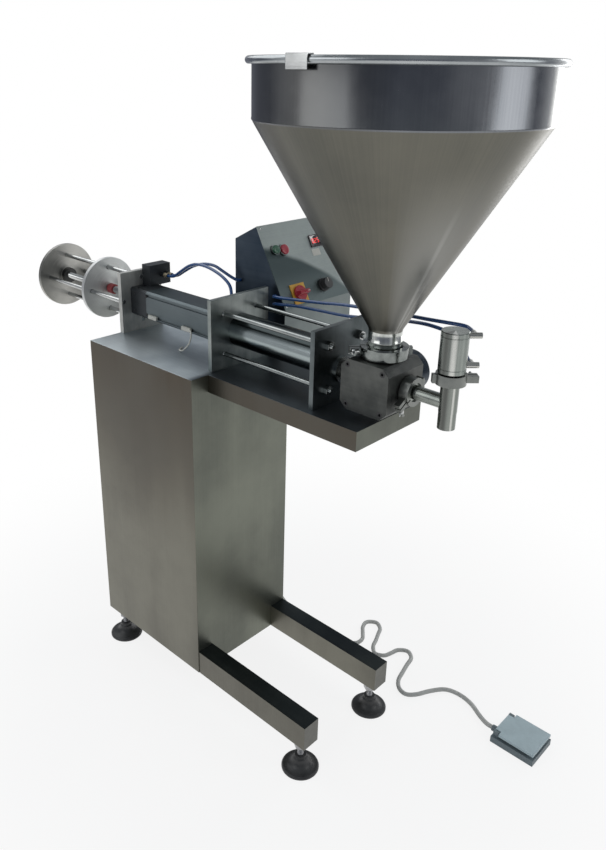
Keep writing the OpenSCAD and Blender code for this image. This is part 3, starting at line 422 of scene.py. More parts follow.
@dataclass(frozen=True)
class DeckFace(Finish):
    """The brushed deck: pale behind, and from one point on dark with painted shade, standing in for the shadow and the
    reflection of the valve and cylinder.
    """

    shade: Colour
    edge: float

    def material(self) -> bpy.types.Material:
        """Builds the finish."""
        g = Graph(self.name)
        along = g.split(g.coords())[0]
        streaks = g.streaks(Grain.ALONG_X.value)
        clouds, smears = g.noise(5.0, 3.0), g.noise(24.0, 4.0, 0.65)
        tone = g.sway(clouds.ramp(0.38, 0.62) * 0.6, (streaks, 0.5), (smears, 0.3))
        # painted shade and painted reflection: the deck goes dark from this point on
        zone = (along + (clouds - 0.5) * 0.05).ramp(self.edge - 0.012, self.edge + 0.012)
        base = g.mix(zone * 0.9, g.mix(tone, self.light, self.dark), self.shade)
        return g.surface(base, g.sway(0.42, (streaks, 0.12), (smears, 0.14)), streaks, 0.08, 0.0005, Metallic=1.0)


@dataclass(frozen=True)
class SpunSheet(Finish):
    """A round sheet or tube with streaks along its sides, broad tones round it and a few painted bands of light and
    shade.

    Each painted band has its bearing and half width in radians, the height in metres at which it fades, and its tone:
    a high tone paints a highlight, a low one a dark reflection.
    """

    centre: Point
    rough: float
    coarse: float
    fine: float = 70.0
    painted_light_bands: tuple[tuple[float, float, float, float], ...] = ()

    def material(self) -> bpy.types.Material:
        """Builds the finish."""
        g = Graph(self.name)
        x, y, z = g.split(g.local(self.centre))
        turn = g.maths("ARCTAN2", y, x)
        broad = g.noise(1.0, over=g.joined(turn * self.coarse, z * 0.6, 0.0))
        streaks = g.noise(1.0, 3.0, 0.6, g.joined(turn * self.fine, z * 1.2, 3.0))
        clouds, smears = g.noise(5.0, 3.0), g.noise(40.0, 3.0, 0.6)
        tone = g.sway(0.5, (broad, 1.3), (streaks, 0.5), (clouds, 0.7), (smears, 0.2))
        base = g.mix(tone, self.dark, self.light)
        # painted highlights and painted dark reflections, each a band at a fixed bearing
        for bearing, width, top, bright in self.painted_light_bands:
            near = (turn - bearing) * (1 / width)
            painted_band = (1 - near * near).clamp() * z.ramp(top, top - 0.22)
            base = g.mix(painted_band * 0.75, base, (bright, bright, bright * 0.95))
        rough = g.sway(self.rough, (streaks, 0.14), (smears, 0.12), (clouds, 0.1))
        return g.surface(base, rough, streaks, 0.08, 0.0005, Metallic=1.0)


@dataclass(frozen=True)
class PolishedTube(Finish):
    """A level polished tube with one long painted highlight: a pale band along its side."""

    height: float
    half_band: float

    def material(self) -> bpy.types.Material:
        """Builds the finish."""
        g = Graph(self.name)
        off = (g.split(g.coords())[2] - self.height) * (1 / self.half_band)
        # painted highlight: the pale band at a set height along the tube
        band = (1.2 - off * off).clamp()
        streaks, clouds = g.streaks(Grain.ALONG_X.value), g.noise(9.0, 3.0)
        tone = g.sway(band * 0.9, (streaks, 0.3), (clouds, 0.5))
        rough = g.sway(0.2, (streaks, 0.1), (clouds, 0.12))
        return g.surface(g.mix(tone, self.dark, self.light), rough, streaks, 0.04, 0.0005, Metallic=1.0)


@dataclass(frozen=True)
class PanelFace(Finish):
    """The console's panel: smooth brushed sheet, pale above a slanting line and painted shade below it."""

    foot: Colour
    corner: Point

    def material(self) -> bpy.types.Material:
        """Builds the finish."""
        g = Graph(self.name)
        _, across, rise = g.split(g.local(self.corner))
        down = rise * -1.13
        streaks = g.streaks(Grain.ALONG_Y.value)
        clouds, smears = g.noise(7.0), g.noise(60.0, 3.0, 0.6)
        slant = across * 0.3 + across * across * 1.1
        # painted shade: the panel goes dark below this slanting line, a little lighter again towards its foot
        line = (down - slant - 0.048 + (clouds - 0.5) * 0.02).ramp(0.0, 0.018)
        base = g.mix(line, self.light, g.mix(down.ramp(0.12, 0.21), self.dark, self.foot))
        shade = g.sway(0.35, (streaks, 0.5), (clouds, 0.6), (smears, 0.25))
        base = g.mix(shade * 0.6, base, (0.09, 0.11, 0.11))
        return g.surface(base, g.sway(0.4, (streaks, 0.1), (smears, 0.14)), streaks, 0.02, 0.0005, Metallic=1.0)


class Finishes:
    """The shelf of finishes: each is built once, and handed out by its record slot or its own name."""

    def __init__(self) -> None:
        """Lists what each slot is made of."""
        self._made: dict[str, bpy.types.Material] = {}
        self._kinds: dict[str, Finish | Moulded] = {}
        self.add(
            Steel("brushed_stainless", (0.33, 0.325, 0.30), (0.17, 0.17, 0.155), grain=Grain.ALONG_X),
            Steel("satin_stainless", (0.30, 0.31, 0.29), (0.15, 0.16, 0.155), cloud=12.0),
            Steel("dark_stainless", (0.135, 0.14, 0.132), (0.06, 0.064, 0.062), 0.46, Grain.ALONG_X, 16.0, metal=0.9),
            Steel("polished_stainless", (0.62, 0.63, 0.62), (0.36, 0.37, 0.37), 0.16, Grain.ALONG_X, 14.0, bump=0.05),
            Steel("hard_chrome", (0.72, 0.72, 0.73), (0.5, 0.5, 0.52), 0.08, Grain.ALONG_X, 14.0, 0.88, 0.02),
            Steel("console_stainless", (0.22, 0.25, 0.245), (0.13, 0.15, 0.15), 0.4, Grain.ALONG_Y, 5.0, bump=0.03),
            Anodised("anodised_aluminium", (0.17, 0.2, 0.21), (0.09, 0.11, 0.118)),
            Anodised("dark_anodised", (0.055, 0.062, 0.068), (0.022, 0.026, 0.03), metal=0.6),
            Moulded("black_steel", (0.02, 0.02, 0.022), 0.35, 0.1),
            Anodised("brass", (0.62, 0.46, 0.2), (0.36, 0.25, 0.1), 0.3, 1.0),
            Anodised("nickel_brass", (0.62, 0.62, 0.58), (0.33, 0.33, 0.31), 0.25, 1.0),
            Moulded("black_plastic", (0.02, 0.021, 0.022), 0.42, 0.12),
            Moulded("black_rubber", (0.018, 0.018, 0.018), 0.6, 0.1),
            Moulded("red_rubber", (0.34, 0.02, 0.025), 0.5),
            Moulded("white_plastic", (0.62, 0.62, 0.56), 0.4, 0.0),
            Moulded("white_silicone", (0.66, 0.66, 0.62), 0.5, 0.0),
            Moulded("blue_hose", (0.008, 0.07, 0.24), 0.24, 0.05, 0.5),
            Moulded("display_black", (0.02, 0.008, 0.01), 0.18, 0.0, 0.6),
            Moulded("red_plastic", (0.42, 0.008, 0.03), 0.3, 0.05, 0.3),
            Moulded("green_plastic", (0.016, 0.12, 0.06), 0.3, 0.05, 0.3),
            Moulded("yellow_plastic", (0.72, 0.40, 0.03), 0.4, 0.05),
            Moulded("grey_plastic", (0.17, 0.215, 0.235), 0.5, 0.05),
            Moulded("pale_blue_plastic", (0.50, 0.62, 0.66), 0.45, 0.0),
            Moulded("grey_cord", (0.56, 0.565, 0.54), 0.5, 0.0))

    def add(self, *kinds: Finish | Moulded) -> None:
        """Puts finishes on the shelf under their own names."""
        self._kinds |= {kind.name: kind for kind in kinds}

    def get(self, name: str) -> bpy.types.Material:
        """The material of a name, built the first time it is asked for."""
        if name not in self._made:
            self._made[name] = self._kinds[name].material()
        return self._made[name]


finishes = Finishes()


# ------------------------------------------------------------------- the bench


class Bench:
    """Modelling by hand: primitives shaped in edit mode, modifiers applied, places kept in the mesh."""

    @staticmethod
    def clear() -> None:
        """Goes back to object mode with nothing selected."""
        if bpy.context.mode != "OBJECT":
            bpy.ops.object.mode_set(mode="OBJECT")
        bpy.ops.object.select_all(action="DESELECT")

    @classmethod
    def pick(cls, piece: Piece) -> None:
        """Selects one piece and makes it the active one."""
        cls.clear()
        piece.select_set(True)
        bpy.context.view_layer.objects.active = piece

    @staticmethod
    def linked(name: str, data: bpy.types.ID) -> Piece:
        """A new object of the scene, made of this data."""
        made = bpy.data.objects.new(name, data)
        bpy.context.scene.collection.objects.link(made)
        return made

    @staticmethod
    def apply(piece: Piece, kind: str, **settings: object) -> None:
        """Adds a modifier to the active piece and applies it."""
        modifier = piece.modifiers.new(kind.lower(), kind)
        for key, value in settings.items():
            setattr(modifier, key, value)
        bpy.ops.object.modifier_apply(modifier=modifier.name)

    @staticmethod
    def shade(degrees: float) -> None:
        """Smooths the selected piece's faces where they meet at less than an angle."""
        bpy.ops.object.shade_smooth_by_angle(angle=math.radians(degrees))

    @staticmethod
    def settle(name: str) -> Piece:
        """Names the active piece and puts its place into its mesh."""
        piece = bpy.context.active_object
        piece.name = name
        bpy.context.view_layer.update()
        piece.data.transform(piece.matrix_world)
        piece.matrix_world = Matrix.Identity(4)
        piece.data.update()
        return piece

    @classmethod
    def drum(cls, name: str, radius: float, height: float, low: float, sides: int) -> Piece:
        """A cylinder about +Z, in millimetres, with its lower face at low."""
        cls.clear()
        bpy.ops.mesh.primitive_cylinder_add(vertices=sides, radius=radius * MM, depth=height * MM,
                                            location=(0, 0, (low + height / 2) * MM))
        return cls.settle(name)

    @classmethod
    def block(cls, name: str, low: Point, high: Point) -> Piece:
        """A box from one corner to the other, in millimetres."""
        cls.clear()
        bpy.ops.mesh.primitive_cube_add(size=1, location=[(a + b) / 2 * MM for a, b in zip(low, high)])
        bpy.context.active_object.scale = [(b - a) * MM for a, b in zip(low, high)]
        return cls.settle(name)

    @classmethod
    def spun(cls, name: str, profile: Outline, steps: int, smooth: float = 0.0, closed: bool = False) -> Piece:
        """Spins a profile about +Z.

        Args:
            name: the piece's name.
            profile: radius and height of each point, in millimetres.
            steps: how many steps the turn takes.
            smooth: the greatest angle between two faces that are smoothed, in degrees, or 0 for flat faces.
            closed: whether the profile's last point joins its first.

        Returns:
            The new piece, its faces pointing outwards.
        """
        cls.clear()
        mesh = bpy.data.meshes.new(name)
        last = len(profile) - 1
        edges = [(i, i + 1) for i in range(last)] + ([(last, 0)] if closed else [])
        mesh.from_pydata([(r * MM, 0.0, h * MM) for r, h in profile], edges, [])
        piece = cls.linked(name, mesh)
        cls.pick(piece)
        bpy.ops.object.mode_set(mode="EDIT")
        bpy.ops.mesh.select_all(action="SELECT")
        bpy.ops.mesh.spin(steps=steps, angle=math.tau, center=(0, 0, 0), axis=(0, 0, 1))
        bpy.ops.mesh.select_all(action="SELECT")
        bpy.ops.mesh.remove_doubles(threshold=1e-6)
        bpy.ops.mesh.normals_make_consistent(inside=False)
        bpy.ops.object.mode_set(mode="OBJECT")
        if smooth:
            cls.shade(smooth)
        return piece

    @classmethod
    def choose(cls, piece: Piece, keep: Callable[[bpy.types.MeshPolygon], bool]) -> None:
        """Goes into edit mode with only the chosen faces selected."""
        cls.pick(piece)
        bpy.ops.object.mode_set(mode="EDIT")
        bpy.ops.mesh.select_mode(type="FACE")
        bpy.ops.mesh.select_all(action="DESELECT")
        bpy.ops.object.mode_set(mode="OBJECT")
        for face in piece.data.polygons:
            face.select = keep(face)
        bpy.ops.object.mode_set(mode="EDIT")

    @staticmethod
    def inset(*rims: tuple[float, float]) -> None:
        """Insets the selected faces and goes back to object mode; each rim has its width and height in millimetres."""
        for width, depth in rims:
            bpy.ops.mesh.inset(thickness=width * MM, depth=depth * MM)
        bpy.ops.object.mode_set(mode="OBJECT")

    @classmethod
    def soften(cls, piece: Piece, width: float, segments: int = 2, angle: float = 32.0) -> Piece:
        """Bevels every edge sharper than an angle, and smooths the rest.

        Args:
            piece: the mesh object.
            width: the bevel's width in millimetres.
            segments: how many steps it has.
            angle: the least angle of a bevelled edge, in degrees.

        Returns:
            The same piece.
        """
        cls.pick(piece)
        cls.apply(piece, "BEVEL", width=width * MM, segments=segments, limit_method="ANGLE",
                  angle_limit=math.radians(angle), use_clamp_overlap=True)
        cls.shade(34)
        cls.apply(piece, "WEIGHTED_NORMAL", keep_sharp=True, weight=80)
        return piece

    @classmethod
    def refined(cls, node: str, name: str, width: float, segments: int = 2) -> Piece:
        """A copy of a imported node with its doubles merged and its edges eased.

        Args:
            node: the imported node.
            name: the new piece's name.
            width: the bevel's width in millimetres.
            segments: how many steps it has.

        Returns:
            The new piece.
        """
        piece = cls.linked(name, frame["nodes"][node].data.copy())
        piece.data.materials.clear()
        cls.pick(piece)
        if piece.data.has_custom_normals:
            bpy.ops.mesh.customdata_custom_splitnormals_clear()
        bpy.ops.object.mode_set(mode="EDIT")
        bpy.ops.mesh.select_all(action="SELECT")
        bpy.ops.mesh.remove_doubles(threshold=2e-6)
        bpy.ops.mesh.dissolve_limited(angle_limit=math.radians(1.0))
        bpy.ops.object.mode_set(mode="OBJECT")
        return cls.soften(piece, width, segments)

    @classmethod
    def copied(cls, piece: Piece, name: str, matrix: Matrix) -> Piece:
        """A copy of a piece with its own mesh, moved by a matrix."""
        twin = cls.linked(name, piece.data.copy())
        twin.data.transform(matrix)
        return twin

    @classmethod
    def joined(cls, pieces: Sequence[Piece], name: str) -> Piece:
        """Joins pieces into one."""
        cls.clear()
        for piece in pieces:
            piece.select_set(True)
        bpy.context.view_layer.objects.active = pieces[0]
        bpy.ops.object.join()
        pieces[0].name = name
        return pieces[0]

    @classmethod
    def repeated(cls, master: Piece, name: str, matrices: Iterable[Matrix]) -> Piece:
        """Copies a master to several places as one piece, and removes the master."""
        copies = [cls.copied(master, f"{master.name}_{i}", matrix) for i, matrix in enumerate(matrices)]
        bpy.data.objects.remove(master)
        return cls.joined(copies, name)

    @classmethod
    def tube(cls, name: str, points: Sequence[Vector], radius: float, sides: int = 4) -> Piece:
        """A round tube along smooth points, as a mesh with closed ends.

        Args:
            name: the piece's name.
            points: the tube's route, in metres.
            radius: its radius in millimetres.
            sides: the resolution of its round.

        Returns:
            The new piece.
        """
        curve = bpy.data.curves.new(name, "CURVE")
        curve.dimensions = "3D"
        curve.bevel_depth = radius * MM
        curve.bevel_resolution = sides
        curve.use_fill_caps = True
        spline = curve.splines.new("POLY")
        path = smoothed(points)
        spline.points.add(len(path) - 1)
        for point, spot in zip(spline.points, path):
            point.co = (*spot, 1.0)
        cls.pick(cls.linked(name, curve))
        bpy.ops.object.convert(target="MESH")
        piece = bpy.context.active_object
        piece.data.name = name
        cls.shade(50)
        return piece


def smoothed(points: Sequence[Vector]) -> list[Vector]:
    """The points of a smooth line through the given ones, with the same two ends."""
    last, steps = len(points) - 1, 6
    line: list[Vector] = []
    for i in range(last):
        a, b = points[max(i - 1, 0)], points[i]
        c, d = points[i + 1], points[min(i + 2, last)]
        for t in (s / steps for s in range(steps)):
            line.append(0.5 * (2 * b + (c - a) * t + (2 * a - 5 * b + 4 * c - d) * t * t
                               + (3 * b - a - 3 * c + d) * t ** 3))
    return [*line, points[last].copy()]


def coat(piece: Piece, finish: str) -> int:
    """Adds a finish to a piece, and says which of the piece's finishes it is."""
    piece.data.materials.append(finishes.get(finish))
    return len(piece.data.materials) - 1


def place(piece: Piece, slot: str, body: str = ROOT, stands_for: Sequence[str] = (), finish: str = "") -> Piece:
    """Hands a finished piece over to the frame.

    Args:
        piece: the finished piece.
        slot: the record's material slot.
        body: the body it rides on.
        stands_for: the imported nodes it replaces.
        finish: its finish, where it isn't the slot's own and the piece has none yet.

    Returns:
        The piece.
    """
    if not piece.data.materials:
        coat(piece, finish or slot)
    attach(piece, body)
    if stands_for:
        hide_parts(*stands_for)
    log.info("piece %s on %s, %d faces", piece.name, body, len(piece.data.polygons))
    return piece


def eased(node: str, name: str, width: float, slot: str, body: str = ROOT, finish: str = "",
          segments: int = 2) -> None:
    """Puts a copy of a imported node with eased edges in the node's place.

    Args:
        node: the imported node.
        name: the new piece's name.
        width: the bevel's width in millimetres.
        slot: the record's material slot.
        body: the body it rides on.
        finish: its finish, where it isn't the slot's own.
        segments: how many steps the bevel has.
    """
    place(Bench.refined(node, name, width, segments), slot, body, [node], finish)


def dress(node: str, slot: str) -> None:
    """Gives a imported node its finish."""
    data = frame["nodes"][node].data
    data.materials.clear()
    data.materials.append(finishes.get(slot))
    log.info("finish %s on node %s", slot, node)


def by_side(piece: Piece, *choices: tuple[Vector, str]) -> None:
    """Gives the faces that look a certain way a finish of their own; the main finish is already on the piece."""
    for direction, finish in choices:
        index = coat(piece, finish)
        for face in piece.data.polygons:
            if face.normal.dot(direction) > 0.9:
                face.material_index = index


def by_place(piece: Piece, finish: str, keep: Callable[[Vector], bool]) -> None:
    """Gives the faces that lie in one place a finish of their own.

    Args:
        piece: the mesh object, with its main finish already first.
        finish: the finish of those faces.
        keep: says from a corner of a face, in the machine's millimetres, whether it lies in that place.
    """
    index = coat(piece, finish)
    corners = [v.co / MM - ORIGIN for v in piece.data.vertices]
    for face in piece.data.polygons:
        if all(keep(corners[i]) for i in face.vertices):
            face.material_index = index


def threaded(length: float, radius: float, pitch: float, depth: float, low: float = 0.0) -> Outline:
    """The outline of a threaded bar, from its lower end to its chamfered tip.

    Args:
        length: how long the threaded stretch is.
        radius: the bar's outer radius.
        pitch: the distance between two crests.
        depth: how deep the thread is cut.
        low: the height at which it starts.

    Returns:
        Radius and height of each point.
    """
    tip = 1.0
    turns = int((length - tip) / pitch)
    points: Outline = []
    for i in range(turns):
        points += [(radius - depth, low + i * pitch), (radius, low + (i + 0.5) * pitch)]
    return points + [(radius - depth, low + turns * pitch), (radius - tip, low + length), (0.0, low + length)]


# -------------------------------------------------------------- sub-assemblies


@dataclass
class Studio:
    """The camera, the lamps, the pale floor and the white surround."""

    eye: Vector = field(default_factory=lambda: at(1733.0, -1282.0, 1627.0))
    yaw: float = 133.77
    pitch: float = 21.71
    roll: float = 0.73
    lens: float = 33.65
    shift: tuple[float, float] = (0.0387, -0.049)
    floor_radius: float = 5.0
    windows: tuple[Point, ...] = (
        (1.72, 0.75, 0.85), (0.42, 0.55, 0.42), (-2.35, 0.6, 0.40), (-0.2, 0.25, 0.2))

    def aim(self) -> None:
        """Sets up the camera."""
        yaw, pitch, roll = (math.radians(v) for v in (self.yaw, self.pitch, self.roll))
        ahead = Vector((math.cos(yaw) * math.cos(pitch), math.sin(yaw) * math.cos(pitch), -math.sin(pitch)))
        level = Vector((math.sin(yaw), -math.cos(yaw), 0))
        above = level.cross(ahead)
        right = level * math.cos(roll) + above * math.sin(roll)
        up = above * math.cos(roll) - level * math.sin(roll)
        data = bpy.data.cameras.new("eye")
        data.lens, (data.shift_x, data.shift_y) = self.lens, self.shift
        data.clip_start, data.clip_end = 0.05, 60.0
        camera = Bench.linked("eye", data)
        camera.matrix_world = columns(right, up, -ahead, self.eye)
        bpy.context.scene.camera = camera
        bpy.context.scene.view_settings.view_transform = "Standard"
        log.info("camera set")

    def lamp(self, name: str, place: Vector, target: Vector, size: tuple[float, float], power: float) -> None:
        """Adds one soft lamp.

        Args:
            name: the lamp's name.
            place: where it stands.
            target: what it looks at.
            size: its width and height in metres.
            power: its power in watts.
        """
        data = bpy.data.lights.new(name, "AREA")
        data.shape = "RECTANGLE"
        data.size, data.size_y = size
        data.energy = power
        turn = (target - place).to_track_quat("-Z", "Y").to_matrix().to_4x4()
        Bench.linked(name, data).matrix_world = Matrix.Translation(place) @ turn

    def light(self) -> None:
        """Sets the soft lamps."""
        middle = at(500, 0, 900)
        self.lamp("top_box", at(-1500, -100, 3000), middle, (2.6, 2.2), 26)
        self.lamp("left_box", at(-300, -2900, 2500), middle, (2.4, 2.0), 22)
        self.lamp("right_box", at(3300, 1300, 2300), middle, (1.6, 2.0), 18)
        self.lamp("side_strip", at(900, 3000, 1500), at(800, 0, 1300), (0.6, 2.4), 14)
        log.info("lamps set")

    def surround(self) -> None:
        """Makes the surround: white to the camera, and to the metal a dim room with a few bright windows.

        Each window has its bearing and half width in radians, and its brightness.
        """
        world = bpy.data.worlds.new("surround")
        bpy.context.scene.world = world
        world.use_nodes = True
        g = Graph("surround", world.node_tree)
        x, y, z = g.split(g.node("ShaderNodeTexCoord", {}, {}, "Generated"))
        turn = g.maths("ARCTAN2", y, x)
        wall: Sock | float = 0.16
        for bearing, width, bright in self.windows:
            wall = g.maths("COSINE", turn - bearing).ramp(math.cos(width), 1.0) * bright + wall
        low = g.mix(wall.clamp(), (0.03, 0.045, 0.09), (1.0, 1.0, 1.0))
        room = g.mix(z.ramp(0.10, 0.5), low, (0.30, 0.32, 0.34))
        camera, glass = g.outputs("ShaderNodeLightPath", "Is Camera Ray", "Is Transmission Ray")
        colour = g.mix((camera + glass).clamp(), room, (1.0, 1.0, 1.0))
        g.close(g.node("ShaderNodeBackground", {}, {"Color": colour, "Strength": 1.0}), "ShaderNodeOutputWorld")

    def ground(self) -> None:
        """Lays the pale floor, which keeps the machine's shadow."""
        Bench.clear()
        middle = at(500, 20, 0)
        bpy.ops.mesh.primitive_circle_add(vertices=96, radius=self.floor_radius, fill_type="NGON",
                                          location=(middle.x, middle.y, -0.0005))
        floor = bpy.context.active_object
        floor.name = "floor"
        g = Graph("pale_floor")
        tone = g.mix(g.noise(3.0, 3.0), (0.86, 0.86, 0.86), (0.9, 0.9, 0.9))
        matt = g.node("ShaderNodeBsdfDiffuse", {}, {"Color": tone})
        white = g.node("ShaderNodeEmission", {}, {"Color": (1, 1, 1, 1), "Strength": 1.0})
        camera, glossy, glass = g.outputs("ShaderNodeLightPath", "Is Camera Ray", "Is Glossy Ray",
                                          "Is Transmission Ray")
        away = g.vector_maths("LENGTH", g.coords(), output="Value")
        share = (camera + glossy + glass).clamp() * (away.ramp(0.5, 1.6) * 0.16 + 0.84)
        g.close(g.node("ShaderNodeMixShader", {}, {0: share, 1: matt, 2: white}))
        floor.data.materials.append(g.material)
        log.info("floor laid")


@dataclass
class FootCord:
    """The round cord from the cabinet's gland to the foot switch, lying in loose curves."""

    diameter: float = 12.0
    gland_length: float = 27.0
    route: tuple[Point, ...] = (
        (300, 194.4, 124), (300.4, 213, 121.5), (303, 236, 106), (309, 256, 78), (319, 271, 47), (335, 283, 20),
        (362, 290, 7.5), (400, 293, 6.5), (440, 294, 6.5), (480, 294, 6.5), (520, 294, 6.5), (556, 297, 6.5),
        (580, 314, 6.5), (582, 340, 6.5), (566, 364, 6.5), (548, 388, 6.5), (543, 415, 6.5), (566, 433, 6.5),
        (591, 419, 6.5), (603, 393, 6.5), (615, 366, 6.5), (626, 338, 6.5), (648, 317, 6.5), (673, 328, 6.5),
        (682, 352, 6.5), (689, 377, 6.5), (713, 393, 6.5), (737, 376, 6.5), (745, 343, 6.5), (754, 308, 6.5),
        (764, 274, 6.5), (784, 250, 6.5), (810, 244, 6.5), (832, 264, 6.5), (852, 302, 6.5), (879, 337, 6.5),
        (916, 348, 6.5), (958, 341, 6.5), (1000, 318, 7), (1026, 305.6, 9.2), (1045.6, 304, 9.5))

    def gland(self) -> Piece:
        """Builds the ribbed strain relief at the cabinet."""
        outline = [(0.0, 0.0), (11.5, 0.0), (12.0, 0.6), (12.0, 5.4), (11.4, 6.0), (8.4, 6.0), (8.4, 7.4), (7.6, 8.0)]
        for i in range(5):
            low, radius = 8.6 + i * 3.4, 8.4 - i * 0.2
            outline += [(radius, low), (radius, low + 2.0), (radius - 1.2, low + 2.5), (radius - 1.2, low + 3.1)]
        outline += [(7.3, 26.2), (6.9, self.gland_length), (0.0, self.gland_length)]
        piece = Bench.spun("cord_gland_relief", outline, 32)
        piece.data.transform(frame_at(at(300, 167, 124), Y))
        Bench.soften(piece, 0.25, 1, 40)
        return place(piece, "black_plastic", ROOT, ["cord_gland"])

    def build(self) -> None:
        """Builds the gland and the cord, and states the cord's facts."""
        gland = self.gland()
        points = [at(*p) for p in self.route]
        cord = Bench.tube("foot_cord", points, self.diameter / 2)
        line = smoothed(points)
        length = sum((b - a).length for a, b in zip(line, line[1:]))
        place(cord, "grey_cord", ROOT, ["foot_switch_cord"])
        log.info("cord of %.3f m", length)


@dataclass
class Cabinet:
    """The stand: base frame, sheet cabinet, its rear cover, the tray and four levelling feet."""

    foot_radius: float = 47.0
    bell_height: float = 34.0
    stud_radius: float = 8.0
    stud_from: float = 42.0

    def stock(self) -> None:
        """Adds the finishes that only the stand has."""
        finishes.add(
            # painted light and shade: lighter and darker copies of the same steel for the -Y sides, the tops and the
            # legs' tops; the sides also darken towards the top, and the deck goes dark where the valve and cylinder
            # stand
            SheetFace("wall_side_painted_shade", (0.185, 0.18, 0.15), (0.12, 0.115, 0.1), (0.074, 0.062, 0.048), 0.35),
            SheetFace("wall_green", (0.19, 0.2, 0.165), (0.1, 0.106, 0.092), (0.17, 0.18, 0.15), 0.3, blotch=0.75),
            DeckFace("deck_painted_shade", (0.66, 0.72, 0.75), (0.36, 0.41, 0.45), (0.07, 0.085, 0.1),
                     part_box("barrel_rear_plate")[1].x),
            Steel("leg_top_painted_shade", (0.045, 0.053, 0.053), (0.02, 0.026, 0.03), 0.4, Grain.ALONG_X, 5.0),
            Steel("leg_steel", (0.16, 0.16, 0.145), (0.085, 0.085, 0.078), 0.38, Grain.ALONG_X, 5.0),
            Anodised("zinc", (0.42, 0.42, 0.42), (0.24, 0.24, 0.25), 0.34, 1.0))

    def sheets(self) -> None:
        """Eases the folded sheets' edges and gives each side its finish, with painted light and shade: the -Y sides,
        the tops and the legs' tops get their own toned copies of the steel.
        """
        for node, width, main, top in (("cabinet_shell", 0.7, "wall_green", "deck_painted_shade"),
                                       ("tray", 0.8, "wall_green", "deck_painted_shade"),
                                       ("base_frame", 1.6, "leg_steel", "leg_top_painted_shade"),
                                       ("rear_cover", 0.6, "wall_green", "deck_painted_shade")):
            piece = Bench.refined(node, node + "_sheet", width)
            coat(piece, main)
            by_side(piece, (-Y, "wall_side_painted_shade"), (Z, top))
            place(piece, "brushed_stainless", ROOT, [node])

    def cover_screws(self) -> None:
        """Sets button-head screws round the rear cover."""
        low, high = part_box("rear_cover")
        screw = Bench.spun("cover_button", [(0.0, 0.6), (1.9, 0.6), (2.1, 2.6), (3.2, 2.5), (4.3, 1.7), (4.75, 0.6),
                                            (4.75, 0.0), (0.0, 0.0)], 24, 35)
        heights = [low.z + 0.012, (low.z + high.z) / 2, high.z - 0.012]
        spots = [Vector((low.x, y, z)) for y in (low.y + 0.01, high.y - 0.01) for z in heights]
        place(Bench.repeated(screw, "rear_cover_buttons", [frame_at(s, -X) for s in spots]), "polished_stainless")

    def foot(self) -> Piece:
        """Builds one bell foot with its threaded stud and lock nut, about +Z."""
        r, h, top = self.foot_radius, self.bell_height, self.stud_from
        bell = [(0.0, 0.0), (r - 1.2, 0.0), (r, 1.2), (r, 4.6), (r - 0.8, 6.2), (r - 3.2, 9.0)]
        for turn in (t * 0.26 for t in range(1, 7)):
            bell.append((r - 3.2 - 26.0 * math.sin(turn), 9.0 + (h - 11.0) * (1 - math.cos(turn))))
        bell += [(17.6, h - 2.2), (16.2, h), (15.0, h + 1.2), (15.0, top - 0.6), (14.4, top), (self.stud_radius, top)]
        cup = Bench.spun("foot_bell", bell + [(0.0, top)], 64, 38)
        thread = threaded(94.0, self.stud_radius, 2.0, 0.7, top)
        stud = Bench.spun("foot_stud", [(0.0, top - 1.0)] + thread, 32, 20)
        nut = Bench.soften(Bench.drum("foot_nut", 17.2, 14.0, 66.0, 6), 1.2)
        for piece, finish in ((cup, "black_plastic"), (stud, "zinc"), (nut, "zinc")):
            coat(piece, finish)
        return Bench.joined([cup, stud, nut], "foot_master")

    def feet(self) -> None:
        """Copies the foot to its four places."""
        master = self.foot()
        for spot in ("front_right", "front_left", "rear_right", "rear_left"):
            node = "foot_" + spot
            low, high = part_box(node)
            middle = Vector(((low.x + high.x) / 2, (low.y + high.y) / 2, 0.0))
            piece = Bench.copied(master, node + "_bell", Matrix.Translation(middle))
            place(piece, "black_plastic", spot + "_foot", [node])
        bpy.data.objects.remove(master)

    def build(self) -> None:
        """Builds the stand."""
        self.stock()
        self.sheets()
        self.cover_screws()
        self.feet()
        dress("air_inlet_port", "brass")


